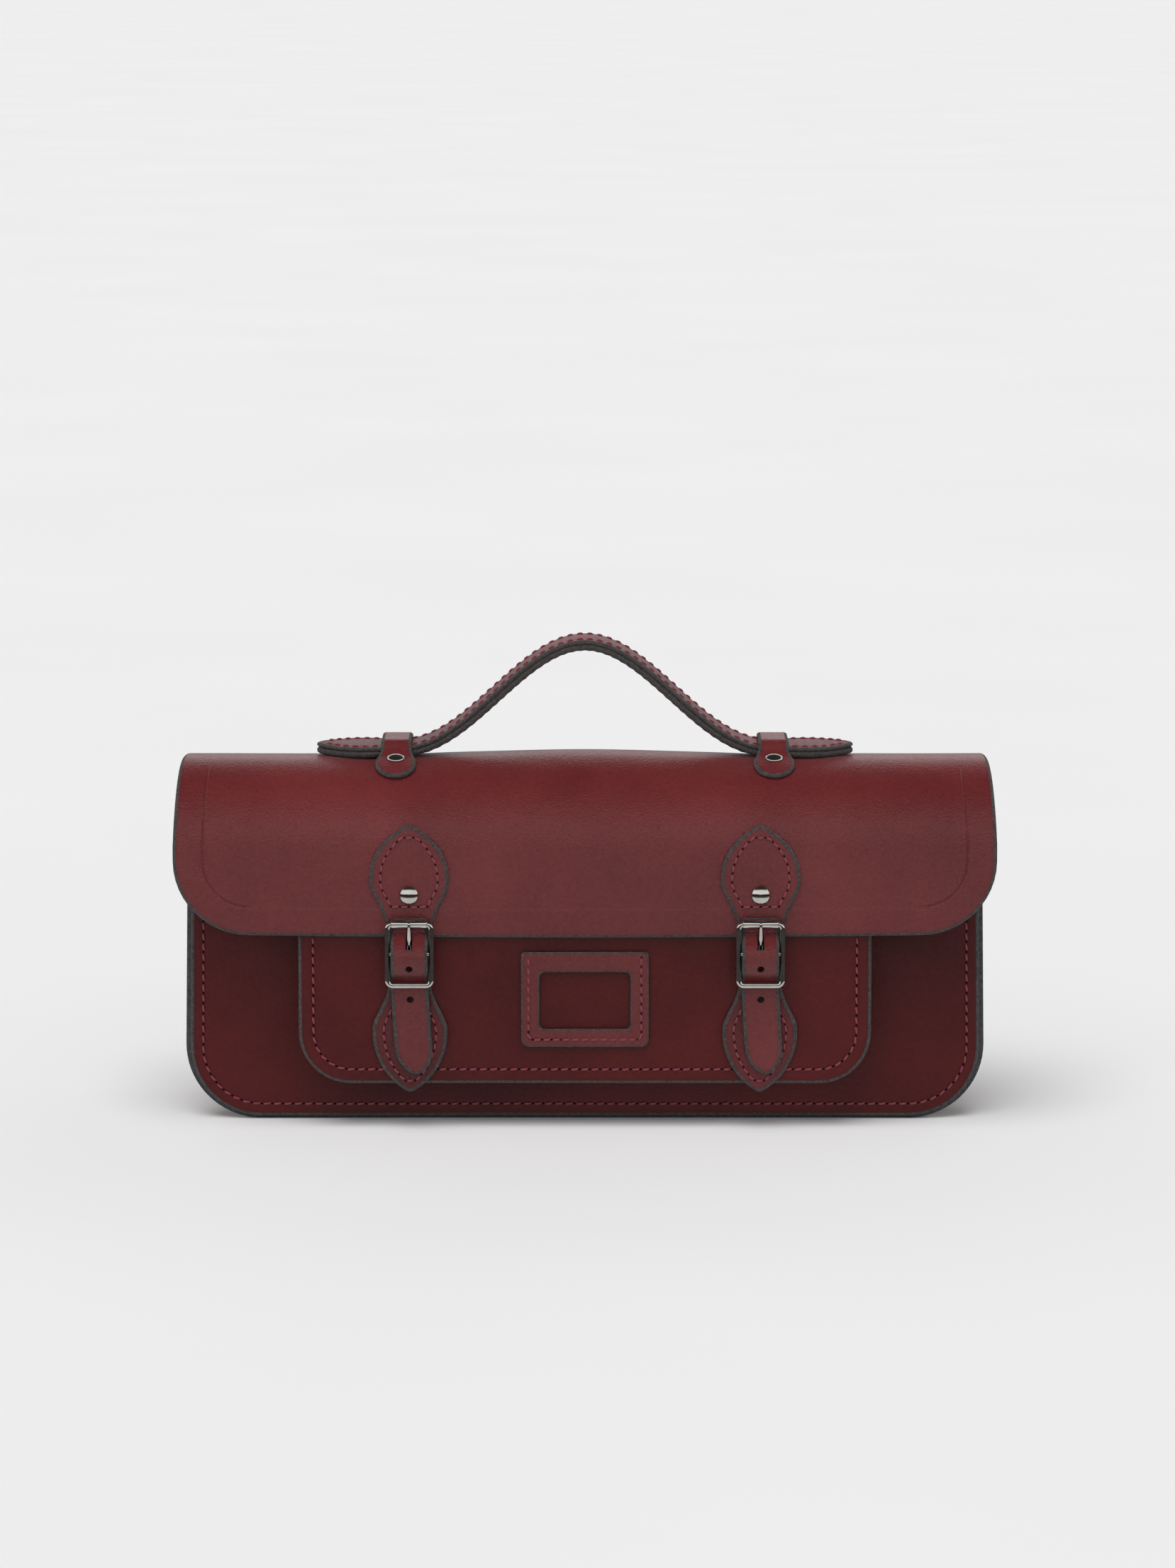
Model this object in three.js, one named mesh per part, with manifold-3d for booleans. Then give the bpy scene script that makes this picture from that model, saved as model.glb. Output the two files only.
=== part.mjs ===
// A wide leather satchel: two panels on a flanged gusset strip, a gusseted front pocket,
// a full flap with a carrying handle, and two buckled straps that close it with press studs.
// Millimetres, +Z up. The front faces -Y and the bag stands on its seam edges at Z = 0.
import * as THREE from "three";
import { mergeVertices } from "three/addons/utils/BufferGeometryUtils.js";
import Module from "manifold-3d";

const wasm = await Module();
wasm.setup();

// ---- Driving dimensions ----
const GAP = 0.3; // between leather pieces that touch
const HIDE = 3; // thickness of the body leather
const GUSSET_HIDE = 2.8;
const SMALL_HIDE = 2; // leaves and name window

const BODY_HALF = 202; // half width of the body over its seam flanges, at the base
const BODY_TAPER = 2; // each side leans in by this at the mouth
const BODY_CORNER = 38;
const BODY_DEPTH = 83; // over both panels
const FOLD_LINE_Z = 147; // top of the back panel, where the flap folds
const GUSSET_TOP_Z = 158;
const FRONT_TOP_Z = 162;
const SEAM_WIDTH = 10; // flange outside the gusset wall
const FLANGE_STEP = 3; // the panels stop this far inside the flange edge

const FLAP_HALF = 204.5;
const FLAP_SHOULDER_HALF = 201.5; // half width at the crown
const FLAP_BOTTOM_Z = 101;
const FLAP_CORNER = 36;
const FLAP_FRONT_Y = -69.5; // outer face of the hanging front
const FLAP_BEND = 40; // outer radius of the bend from the front to the crown
const FLAP_CROWN_Z = 184;
const CROWN_RADIUS = 170;
const CROWN_TURN = 16.9; // degrees that the crown turns before the back fold

const POCKET_HALF = 142.5;
const POCKET_BOTTOM_Z = 24.4;
const POCKET_TOP_Z = 136;
const POCKET_CORNER = 25;
const POCKET_FACE_Y = -65;
const POCKET_SEAM = 9;

const WINDOW = { width: 64, low: 42.6, high: 91, corner: 4 };
const WINDOW_CUT = { width: 45.6, low: 51.7, high: 80.9, corner: 2.7 };

const STRAP_X = 87.7; // both straps are this far from the middle
const STRAP_WIDTH = 15.5;
const STRAP_HIDE = 2.2;
const STRAP_TOP_Z = 109.4;
const STRAP_TIP_Z = 31;
const LEAF_TIP_Z = 154.3;
const LEAF_WIDEST_Z = 129;
const LEAF_HALF = 18.6;
const LEAF_END_Z = 111.6;
const LEAF_RIVET_Z = 121.6;
const LOWER_LEAF_TIP_Z = 20.9;
const LOWER_LEAF_WIDEST_Z = 50.5;
const LOWER_LEAF_HALF = 17.5;
const LOWER_LEAF_TOP_Z = 97;

const BUCKLE = { width: 24.8, low: 73.9, high: 108.8, side: 3, foot: 3.4, depth: 3, corner: 3.6 };
const BUCKLE_Y = -74.6; // plane through the buckle's bars
const BAR_RADIUS = 1.3;
const ROLLER = { radius: 2.3, bore: 1.55, length: 17.8 };
const TONGUE = { width: 2.2, depth: 1.8, ring: 2.7, bore: 1.6 };
const TONGUE_TOP_Z = 108.3;
const TONGUE_SLOT = 3.6; // width of the holes that the tongue passes
const TAB = { width: 13.5, ring: 3.4, bore: 1.6, low: 82 };
const STUD = { z: 85, baseRadius: 6.5, baseDepth: 1.2, capRadius: 6, capDepth: 1.5 };

const RIVET = { radius: 4.75, height: 2.2, post: 1.5, hole: 1.8, backHeight: 1 };
const LOOP_RIVET = { radius: 4.65, height: 1.9, post: 1.4, hole: 1.7, backHeight: 1 };

const HANDLE_Y = -16.5;
const HANDLE_WIDTH = 27;
const HANDLE_THICK = 5.5;
const HANDLE_OUTER_LAYER = 2.1;
const HANDLE_FLAT_Z = 189.8; // top of the handle where it lies flat
const HANDLE_RISE = 54;
const HANDLE_SPAN = 93; // half span of the arch, a raised cosine
const HANDLE_ROOT = 72; // the free arch starts this far from the middle
const HANDLE_END = 134;
const HANDLE_LENS = { start: 101, half: 17 };
const LOOP = { x: 95, waist: 12, pad: 17, hide: 2.3, front: -52.5, back: 21 };
const LOOP_RIVET_Y = [-40, 9];

// ---- Places worked out from them ----
const FRONT_Y = -BODY_DEPTH / 2;
const BACK_Y = BODY_DEPTH / 2;
const BEND_Y = FLAP_FRONT_Y + FLAP_BEND;
const BEND_Z = FLAP_CROWN_Z - FLAP_BEND;
const turn = THREE.MathUtils.degToRad(CROWN_TURN);
const FOLD_START_Y = BEND_Y + CROWN_RADIUS * Math.sin(turn);
const FOLD_RADIUS = (BACK_Y - FOLD_START_Y) / (1 - Math.sin(turn));
const FOLD_Y = BACK_Y - FOLD_RADIUS;
const CROWN_CENTRE_Z = FLAP_CROWN_Z - CROWN_RADIUS;
const FOLD_Z = CROWN_CENTRE_Z + (CROWN_RADIUS - FOLD_RADIUS) * Math.cos(turn);
const LEATHER_ON_FLAP = FLAP_FRONT_Y - GAP;
const POCKET_SKIN_Y = POCKET_FACE_Y - GAP;
const BUCKLE_MID_Z = (BUCKLE.low + BUCKLE.high) / 2;
const ROLLER_Z = BUCKLE.high - ROLLER.radius;

// ---- Finishes ----
const finish = (color, roughness, metalness = 0) => () =>
  new THREE.MeshStandardMaterial({ color, roughness, metalness });
const oxblood = finish(0x6a2f30, 0.5);
const pebbled = finish(0x6d3638, 0.65);
const fleshSide = finish(0x3c3a41, 0.95);
const nickel = finish(0xc9c4bd, 0.25, 1);

// ---- Shapes: lists of [u, v] points ----
function arc(u, v, radius, fromDegrees, toDegrees, steps) {
  return Array.from({ length: steps + 1 }, (_, i) => {
    const a = THREE.MathUtils.degToRad(fromDegrees + ((toDegrees - fromDegrees) * i) / steps);
    return [u + radius * Math.cos(a), v + radius * Math.sin(a)];
  });
}

const mirrored = (points) => points.map(([u, v]) => [-u, v]).reverse();
const moved = (points, du, dv) => points.map(([u, v]) => [u + du, v + dv]);

// Points along a smooth curve through the given ones.
function smooth(points, steps) {
  const curve = new THREE.CatmullRomCurve3(points.map(([u, v]) => new THREE.Vector3(u, v, 0)));
  return curve.getPoints(steps).map((p) => [p.x, p.y]);
}

// The strip between two offsets of an open line, measured to its left.
function ribbon(line, near, far) {
  const side = (offset) =>
    line.map(([u, v], i) => {
      const [au, av] = line[Math.max(i - 1, 0)];
      const [bu, bv] = line[Math.min(i + 1, line.length - 1)];
      const size = Math.hypot(bu - au, bv - av);
      return [u - ((bv - av) / size) * offset, v + ((bu - au) / size) * offset];
    });
  return [...side(near), ...side(far).reverse()];
}

// A pouch outline, inset all round but at its open top: down one side, round and up the other.
function pouch(half, low, top, corner, inset, taper = 0, steps = 8) {
  const side = half - inset;
  const radius = Math.max(corner - inset, 2);
  const right = arc(side - radius, low + inset + radius, radius, -90, 0, steps);
  return [...mirrored([...right, [side - taper, top]]), ...right, [side - taper, top]];
}

// The strip between two insets of a pouch outline.
function pouchStrip(outline, outer, inner) {
  return [...outline(outer), ...outline(inner).reverse()];
}

const bodyOutline = (inset) =>
  pouch(BODY_HALF, 0, GUSSET_TOP_Z, BODY_CORNER, inset, BODY_TAPER);
const pocketOutline = (inset) =>
  pouch(POCKET_HALF, POCKET_BOTTOM_Z, POCKET_TOP_Z, POCKET_CORNER, inset, 0, 6);

function roundedBox(u0, v0, u1, v1, radius, steps = 3) {
  return [
    ...arc(u1 - radius, v0 + radius, radius, -90, 0, steps),
    ...arc(u1 - radius, v1 - radius, radius, 0, 90, steps),
    ...arc(u0 + radius, v1 - radius, radius, 90, 180, steps),
    ...arc(u0 + radius, v0 + radius, radius, 180, 270, steps),
  ];
}

// The flap's section, [y, z], offset outwards: up the front, over the crown, down to the fold.
function flapLine(offset) {
  const crown = 90 - CROWN_TURN;
  return [
    [FLAP_FRONT_Y - offset, FLAP_BOTTOM_Z - 20],
    ...arc(BEND_Y, BEND_Z, FLAP_BEND + offset, 180, 90, 10),
    ...arc(BEND_Y, CROWN_CENTRE_Z, CROWN_RADIUS + offset, 90, crown, 4).slice(1),
    ...arc(FOLD_Y, FOLD_Z, FOLD_RADIUS + offset, crown, 0, 8).slice(1),
  ];
}

// Height of the flap's outer face at a depth y on its top, and its normal there.
function flapTop(y, offset = 0) {
  const [v, radius] = y < BEND_Y ? [BEND_Z, FLAP_BEND] : [CROWN_CENTRE_Z, CROWN_RADIUS];
  return v + Math.sqrt((radius + offset) ** 2 - (y - BEND_Y) ** 2);
}

function flapNormal(y) {
  const radius = y < BEND_Y ? FLAP_BEND : CROWN_RADIUS;
  const sine = (y - BEND_Y) / radius;
  return new THREE.Vector3(0, sine, Math.sqrt(1 - sine * sine));
}

// ---- Solids ----
function solid(geometry) {
  const bare = geometry.clone();
  bare.deleteAttribute("normal");
  bare.deleteAttribute("uv");
  const merged = mergeVertices(bare, 1e-4);
  return new wasm.Manifold(
    new wasm.Mesh({
      numProp: 3,
      vertProperties: new Float32Array(merged.attributes.position.array),
      triVerts: new Uint32Array(merged.index.array),
    }),
  );
}

// Extrudes an outline through a depth along X, Y or Z.
function extruded(axis, points, from, to) {
  const shape = new THREE.Shape(points.map(([u, v]) => new THREE.Vector2(u, v)));
  const geometry = new THREE.ExtrudeGeometry(shape, { depth: to - from, bevelEnabled: false });
  const [x, y, z] = [
    new THREE.Vector3(1, 0, 0),
    new THREE.Vector3(0, 1, 0),
    new THREE.Vector3(0, 0, 1),
  ];
  const place = new THREE.Matrix4();
  if (axis === "x") place.makeBasis(y, z, x).setPosition(from, 0, 0);
  if (axis === "y") place.makeBasis(x, z, y.clone().negate()).setPosition(0, to, 0);
  if (axis === "z") place.setPosition(0, 0, from);
  return solid(geometry.applyMatrix4(place));
}

function block(x0, x1, y0, y1, z0, z1) {
  const box = new THREE.BoxGeometry(x1 - x0, y1 - y0, z1 - z0);
  return solid(box.translate((x0 + x1) / 2, (y0 + y1) / 2, (z0 + z1) / 2));
}

// A turned piece: profile [radius, height] spun about an axis through a point.
function turned(profile, point, axis, segments = 16) {
  const lathe = new THREE.LatheGeometry(
    profile.map(([r, h]) => new THREE.Vector2(r, h)),
    segments,
  );
  const spin = new THREE.Quaternion().setFromUnitVectors(new THREE.Vector3(0, 1, 0), axis);
  return solid(lathe.applyQuaternion(spin).translate(point.x, point.y, point.z));
}

const rod = (radius, length, point, axis, segments) =>
  turned(
    [
      [0, -length / 2],
      [radius, -length / 2],
      [radius, length / 2],
      [0, length / 2],
    ],
    point,
    axis,
    segments,
  );

const ring = (outer, bore, length, point, axis) =>
  turned(
    [
      [bore, -length / 2],
      [outer, -length / 2],
      [outer, length / 2],
      [bore, length / 2],
      [bore, -length / 2],
    ],
    point,
    axis,
    20,
  );

const ALONG_X = new THREE.Vector3(1, 0, 0);
const FORWARD = new THREE.Vector3(0, -1, 0);

const bag = new THREE.Group();

function add(name, made, material) {
  const mesh = made.getMesh();
  const geometry = new THREE.BufferGeometry();
  geometry.setAttribute("position", new THREE.BufferAttribute(mesh.vertProperties, 3));
  geometry.setIndex(new THREE.BufferAttribute(mesh.triVerts, 1));
  geometry.computeVertexNormals();
  const piece = new THREE.Mesh(geometry, material());
  piece.name = name;
  bag.add(piece);
}

// ---- Body: front panel, back panel and the gusset between their seam flanges ----
function makeBody() {
  const panel = (top) =>
    pouch(BODY_HALF - FLANGE_STEP, 0, top, BODY_CORNER - FLANGE_STEP, 0, BODY_TAPER);
  const seamInner = FRONT_Y + HIDE + GAP;
  add("front_panel", extruded("y", panel(FRONT_TOP_Z), FRONT_Y, FRONT_Y + HIDE), oxblood);
  add("back_panel", extruded("y", panel(FOLD_LINE_Z), BACK_Y - HIDE, BACK_Y), oxblood);
  const wallInset = SEAM_WIDTH + GUSSET_HIDE;
  const flange = pouchStrip(bodyOutline, 0, wallInset);
  const wall = pouchStrip(bodyOutline, SEAM_WIDTH, wallInset);
  const gusset = extruded("y", wall, seamInner, -seamInner)
    .add(extruded("y", flange, seamInner, seamInner + GUSSET_HIDE))
    .add(extruded("y", flange, -seamInner - GUSSET_HIDE, -seamInner))
    .subtract(flapBand(-HIDE - 2 * GAP, 10, BODY_HALF + 1));
  add("gusset", gusset, oxblood);
}

// ---- Front pocket on its own gusset, with the name window sewn to its face ----
function makePocket() {
  const face = extruded("y", pocketOutline(0), POCKET_FACE_Y, POCKET_FACE_Y + HIDE);
  add("pocket_panel", face, oxblood);
  const front = POCKET_FACE_Y + HIDE + GAP;
  const back = FRONT_Y - GAP;
  const inner = POCKET_SEAM + GUSSET_HIDE;
  const wall = extruded("y", pouchStrip(pocketOutline, POCKET_SEAM, inner), front, back);
  const flange = pouchStrip(pocketOutline, 0.5, inner);
  const foot = pouchStrip(pocketOutline, POCKET_SEAM, inner + POCKET_SEAM);
  const gusset = wall
    .add(extruded("y", flange, front, front + 2.2))
    .add(extruded("y", foot, back - 2.2, back));
  add("pocket_gusset", gusset, oxblood);

  const half = WINDOW.width / 2;
  const cutHalf = WINDOW_CUT.width / 2;
  const low = roundedBox(-half, WINDOW.low, half, WINDOW.high + 10, WINDOW.corner);
  const cut = roundedBox(-cutHalf, WINDOW_CUT.low, cutHalf, WINDOW_CUT.high, WINDOW_CUT.corner);
  const window = extruded("y", low, POCKET_SKIN_Y - SMALL_HIDE, POCKET_SKIN_Y)
    .intersect(block(-half - 2, half + 2, -80, -50, 0, WINDOW.high))
    .subtract(extruded("y", cut, -80, -50));
  add("name_window", window, oxblood);
}

// ---- Flap, with the holes that its rivets pass ----
function flapBand(inner, outer, half) {
  return extruded("x", [...flapLine(outer), ...flapLine(inner).reverse()], -half, half);
}

function makeFlap() {
  const outline = [
    ...arc(FLAP_HALF - FLAP_CORNER, FLAP_BOTTOM_Z + FLAP_CORNER, FLAP_CORNER, -90, 0, 8),
    [FLAP_HALF, BEND_Z],
    [FLAP_SHOULDER_HALF, FLAP_CROWN_Z + 5],
  ];
  const whole = [...mirrored(outline), ...outline];
  let flap = flapBand(-HIDE, 0, FLAP_HALF + 1)
    .intersect(extruded("y", whole, FLAP_FRONT_Y - 10, BACK_Y + 10))
    .subtract(block(-220, 220, BEND_Y, BACK_Y + 10, 0, FOLD_LINE_Z + GAP));
  for (const side of [-1, 1]) {
    const centre = new THREE.Vector3(side * STRAP_X, FLAP_FRONT_Y, LEAF_RIVET_Z);
    flap = flap.subtract(rod(RIVET.hole, 30, centre, FORWARD, 12));
    for (const y of LOOP_RIVET_Y) {
      const seat = new THREE.Vector3(side * LOOP.x, y, flapTop(y));
      flap = flap.subtract(rod(LOOP_RIVET.hole, 20, seat, flapNormal(y), 12));
    }
  }
  add("flap", flap, oxblood);
}

// A rivet's domed cap on its post, and the back cap that the post is set into.
function makeRivet(name, size, seat, normal, grip) {
  const dome = arc(0, 0, 1, 90, 0, 4).map(([r, h]) => [r * size.radius, h * size.height]);
  const cap = [...dome.reverse(), [0, size.height]];
  const head = turned([[0, 0], ...cap.slice(0, -1)], seat, normal, 16);
  const post = rod(size.post, grip, seat.clone().addScaledVector(normal, 0.1 - grip / 2), normal, 12);
  add(name, head.add(post), nickel);
  const foot = seat.clone().addScaledVector(normal, -grip - size.backHeight / 2);
  add(name + "_back", rod(size.radius, size.backHeight, foot, normal, 16), nickel);
}

// ---- Leaves: the shaped patches above and below each buckle ----
// Half of a leaf: the tip, the widest point, and where it narrows to its end.
function leafOutline(tip, widest, half, shoulder, end) {
  const toTip = Math.sign(tip - widest);
  const side = new THREE.CubicBezierCurve(
    new THREE.Vector2(...shoulder),
    new THREE.Vector2(shoulder[0] + 2, (shoulder[1] + widest) / 2),
    new THREE.Vector2(half, widest - toTip * 7),
    new THREE.Vector2(half, widest),
  ).getPoints(6);
  const point = new THREE.CubicBezierCurve(
    new THREE.Vector2(half, widest),
    new THREE.Vector2(half, widest + toTip * 11),
    new THREE.Vector2(half * 0.72, tip - toTip * 6.5),
    new THREE.Vector2(0, tip),
  ).getPoints(8);
  const right = [end, ...side.map((p) => [p.x, p.y]), ...point.slice(1, -1).map((p) => [p.x, p.y])];
  const whole = [...right, [0, tip], ...mirrored(right)];
  return toTip > 0 ? whole : whole.reverse();
}

function makeLeaves(side, place) {
  const centre = side * STRAP_X;
  const upper = leafOutline(
    LEAF_TIP_Z, LEAF_WIDEST_Z, LEAF_HALF, [12.6, LEAF_END_Z + 1.5], [12, LEAF_END_Z],
  );
  const seat = new THREE.Vector3(centre, LEATHER_ON_FLAP - SMALL_HIDE - GAP, LEAF_RIVET_Z);
  const leaf = flapBand(GAP, GAP + SMALL_HIDE, FLAP_HALF)
    .intersect(extruded("y", moved(upper, centre, 0), FLAP_FRONT_Y - 5, FLAP_FRONT_Y + 10))
    .subtract(rod(RIVET.hole, 30, seat, FORWARD, 12));
  add("upper_leaf_" + place, leaf, oxblood);
  const grip = HIDE + SMALL_HIDE + 3 * GAP;
  makeRivet("leaf_rivet_" + place, RIVET, seat, FORWARD, grip);

  const lower = leafOutline(
    LOWER_LEAF_TIP_Z, LOWER_LEAF_WIDEST_Z, LOWER_LEAF_HALF, [9, 75], [8.4, LOWER_LEAF_TOP_Z],
  );
  const patch = extruded("y", moved(lower, centre, 0), POCKET_SKIN_Y - SMALL_HIDE, POCKET_SKIN_Y);
  add("lower_leaf_" + place, patch, pebbled);
}

// ---- Strap, buckle and press stud on each side ----
// The strap's middle line, [y, z]: behind the roller, over the middle bar, behind the foot.
const STRAP_LINE = [
  [-70.95, STRAP_TOP_Z],
  [-70.95, 105.2],
  [-71.9, 101.4],
  [-74.8, 98.1],
  [-78.1, 95],
  [-79.5, 91],
  [-78.9, 86.6],
  [-76.1, 82.3],
  [-72.4, 79.4],
  [-71.4, 76.2],
  [-71.3, 71],
  [-70.7, 62],
  [-70.4, 48],
  [-70.3, STRAP_TIP_Z],
];
const STRAP_HOLES_Z = [85.5, 67.7];

function makeStrap(centre, place) {
  const half = STRAP_WIDTH / 2;
  const line = smooth(STRAP_LINE, 44);
  const tip = [[0, STRAP_TIP_Z], [4.6, STRAP_TIP_Z + 2.6], [half, STRAP_TIP_Z + 9], [half, 120]];
  const outline = moved([...mirrored(tip.slice(1)), ...tip], centre, 0);
  const section = ribbon(line, -STRAP_HIDE / 2, STRAP_HIDE / 2);
  let strap = extruded("x", section, centre - half, centre + half)
    .intersect(extruded("y", outline, -90, -60))
    .subtract(block(centre - TONGUE_SLOT / 2, centre + TONGUE_SLOT / 2, -90, -60, 93.4, 101.6));
  for (const z of STRAP_HOLES_Z) {
    strap = strap.subtract(rod(1.6, 40, new THREE.Vector3(centre, BUCKLE_Y, z), FORWARD, 10));
  }
  add("strap_" + place, strap, oxblood);
}

function makeBuckle(centre, place) {
  const { width, low, high, side, foot, depth, corner } = BUCKLE;
  const half = width / 2;
  const outer = roundedBox(-half, low, half, high, corner, 4);
  const inner = roundedBox(-half + side, low + foot, half - side, high + 10, 1.2, 2);
  const [near, far] = [BUCKLE_Y - depth / 2, BUCKLE_Y + depth / 2];
  const bar = (z) => rod(BAR_RADIUS, width - side, new THREE.Vector3(centre, BUCKLE_Y, z), ALONG_X, 16);
  const frame = extruded("y", moved(outer, centre, 0), near, far)
    .subtract(extruded("y", moved(inner, centre, 0), near - 1, far + 1))
    .add(bar(BUCKLE_MID_Z))
    .add(bar(ROLLER_Z));
  add("buckle_frame_" + place, frame, nickel);

  const rollerAt = new THREE.Vector3(centre, BUCKLE_Y, ROLLER_Z);
  add("roller_" + place, ring(ROLLER.radius, ROLLER.bore, ROLLER.length, rollerAt, ALONG_X), nickel);

  // The tongue leans from behind the middle bar to the front of the roller.
  const middle = new THREE.Vector3(centre, BUCKLE_Y, BUCKLE_MID_Z);
  const restY = BUCKLE_Y - ROLLER.radius - GAP - TONGUE.depth / 2;
  const lean = [
    [BUCKLE_Y - 0.9, BUCKLE_MID_Z + 2.1],
    [-76.3, 97.5],
    [restY + 0.2, 103.4],
    [restY, TONGUE_TOP_Z],
  ];
  const shank = ribbon(smooth(lean, 8), -TONGUE.depth / 2, TONGUE.depth / 2);
  const tongueHalf = TONGUE.width / 2;
  const tongue = ring(TONGUE.ring, TONGUE.bore, TONGUE.width, middle, ALONG_X)
    .add(extruded("x", shank, centre - tongueHalf, centre + tongueHalf));
  add("tongue_" + place, tongue, nickel);
}

// A short leather tab folded round the middle bar holds the buckle and the stud's cap.
function makeTabAndStud(centre, place) {
  const middle = new THREE.Vector3(centre, BUCKLE_Y, BUCKLE_MID_Z);
  const half = TAB.width / 2;
  const capBack = POCKET_SKIN_Y - SMALL_HIDE - GAP - STUD.baseDepth - GAP;
  const tabBack = capBack - STUD.capDepth - GAP;
  const slot = TONGUE_SLOT / 2;
  const tab = ring(TAB.ring, TAB.bore, TAB.width, middle, ALONG_X)
    .add(block(centre - half, centre + half, tabBack - 3, tabBack, TAB.low, BUCKLE_MID_Z - 1.9))
    .subtract(block(centre - slot, centre + slot, -90, -60, BUCKLE_MID_Z - 3.1, 100));
  add("buckle_tab_" + place, tab, oxblood);

  const disc = (radius, depth, front) =>
    rod(radius, depth, new THREE.Vector3(centre, front + depth / 2, STUD.z), FORWARD, 20);
  add("stud_cap_" + place, disc(STUD.capRadius, STUD.capDepth, capBack - STUD.capDepth), nickel);
  const baseFront = capBack + GAP;
  add("stud_base_" + place, disc(STUD.baseRadius, STUD.baseDepth, baseFront), nickel);
}

// ---- Handle: an arch of two layers on flat ends that run under two loops ----
const handleTop = (x) =>
  HANDLE_FLAT_Z +
  (Math.abs(x) < HANDLE_SPAN ? (HANDLE_RISE / 2) * (1 + Math.cos((Math.PI * x) / HANDLE_SPAN)) : 0);

function handleStrip(from, to, steps, upper, lower) {
  const line = Array.from({ length: steps + 1 }, (_, i) => {
    const x = from + ((to - from) * i) / steps;
    return [x, handleTop(x)];
  });
  return ribbon(line, -lower, -upper);
}

function makeHandle() {
  const half = HANDLE_WIDTH / 2;
  const spread = HANDLE_ROOT + 8;
  const arch = block(-HANDLE_ROOT, HANDLE_ROOT, -60, 30, 150, 260);
  const layer = (upper, lower) =>
    extruded("y", handleStrip(-spread, spread, 36, upper, lower), HANDLE_Y - half, HANDLE_Y + half)
      .intersect(arch);
  add("handle_grip", layer(0, HANDLE_OUTER_LAYER), pebbled);
  add("handle_lining", layer(HANDLE_OUTER_LAYER + GAP, HANDLE_THICK), fleshSide);

  const lensMid = (HANDLE_LENS.start + HANDLE_END) / 2;
  const plan = [
    [HANDLE_ROOT + 0.4, -half],
    [HANDLE_LENS.start, -half],
    ...smooth([[lensMid - 8, -HANDLE_LENS.half], [lensMid + 6, -14.5], [HANDLE_END, 0],
      [lensMid + 6, 14.5], [lensMid - 8, HANDLE_LENS.half]], 12),
    [HANDLE_LENS.start, half],
    [HANDLE_ROOT + 0.4, half],
  ];
  const strip = extruded("y", handleStrip(62, HANDLE_END, 18, 0, HANDLE_THICK), -60, 30);
  const right = strip.intersect(extruded("z", moved(plan, 0, HANDLE_Y), 150, 260));
  add("handle_end_right", right, pebbled);
  add("handle_end_left", right.mirror([1, 0, 0]), pebbled);
}

// A keeper strap that rides up over the handle between its two riveted pads.
function makeLoop(side, place) {
  const half = HANDLE_WIDTH / 2;
  const top = HANDLE_FLAT_Z + 0.7;
  const onFlap = (y) => [y, flapTop(y, 0.4)];
  const line = smooth(
    [
      ...[LOOP.front, -47, -42, -37].map(onFlap),
      [HANDLE_Y - half - 2.6, HANDLE_FLAT_Z - 3],
      [HANDLE_Y - half + 0.5, top],
      [HANDLE_Y, top],
      [HANDLE_Y + half - 0.5, top],
      [HANDLE_Y + half + 2.6, HANDLE_FLAT_Z - 3.4],
      ...[5, 10, 15, LOOP.back].map(onFlap),
    ],
    36,
  );
  const centre = side * LOOP.x;
  const [waist, pad] = [LOOP.waist / 2, LOOP.pad / 2];
  const edge = [
    [0, LOOP.front],
    [pad * 0.75, LOOP.front + 2.6],
    [pad, LOOP_RIVET_Y[0] - 3],
    [pad, LOOP_RIVET_Y[0] + 1],
    [waist, HANDLE_Y - half],
    [waist, HANDLE_Y + half],
    [pad, LOOP_RIVET_Y[1] - 1],
    [pad, LOOP_RIVET_Y[1] + 3],
    [pad * 0.75, LOOP.back - 2.6],
    [0, LOOP.back],
  ];
  const plan = [...edge, ...mirrored(edge.slice(1, -1))];
  let loop = extruded("x", ribbon(line, 0, LOOP.hide), centre - pad, centre + pad)
    .intersect(extruded("z", moved(plan, centre, 0), 100, 260));
  LOOP_RIVET_Y.forEach((y, i) => {
    const normal = flapNormal(y);
    const onPad = new THREE.Vector3(centre, y, flapTop(y));
    loop = loop.subtract(rod(LOOP_RIVET.hole, 20, onPad, normal, 12));
    const seat = onPad.addScaledVector(normal, LOOP.hide + 1);
    const name = "loop_rivet_" + place + ["_front", "_rear"][i];
    makeRivet(name, LOOP_RIVET, seat, normal, HIDE + LOOP.hide + 1 + 3 * GAP);
  });
  add("handle_loop_" + place, loop, oxblood);
}

makeBody();
makePocket();
makeFlap();
makeHandle();
for (const [side, place] of [[-1, "left"], [1, "right"]]) {
  makeLeaves(side, place);
  makeStrap(side * STRAP_X, place);
  makeBuckle(side * STRAP_X, place);
  makeTabAndStud(side * STRAP_X, place);
  makeLoop(side, place);
}

// The origin is the middle of the base, so the group moves back by half its front overhang.
const reach = new THREE.Box3().setFromObject(bag);
bag.position.y = -(reach.min.y + reach.max.y) / 2;

export default bag;
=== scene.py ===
# %% [markdown]
# # A buckled leather satchel
#
# The bag is vegetable-tanned hide, cut from flat patterns, creased, punched, sewn with waxed
# thread and closed with nickel-plated buckles. The frame holds its measured solids and joints.
# Here every leather piece is made again as a real skin: its pattern is worked out flat, laid
# over the shape it takes on the bag, and given its thickness and its raw cut edge.

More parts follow.
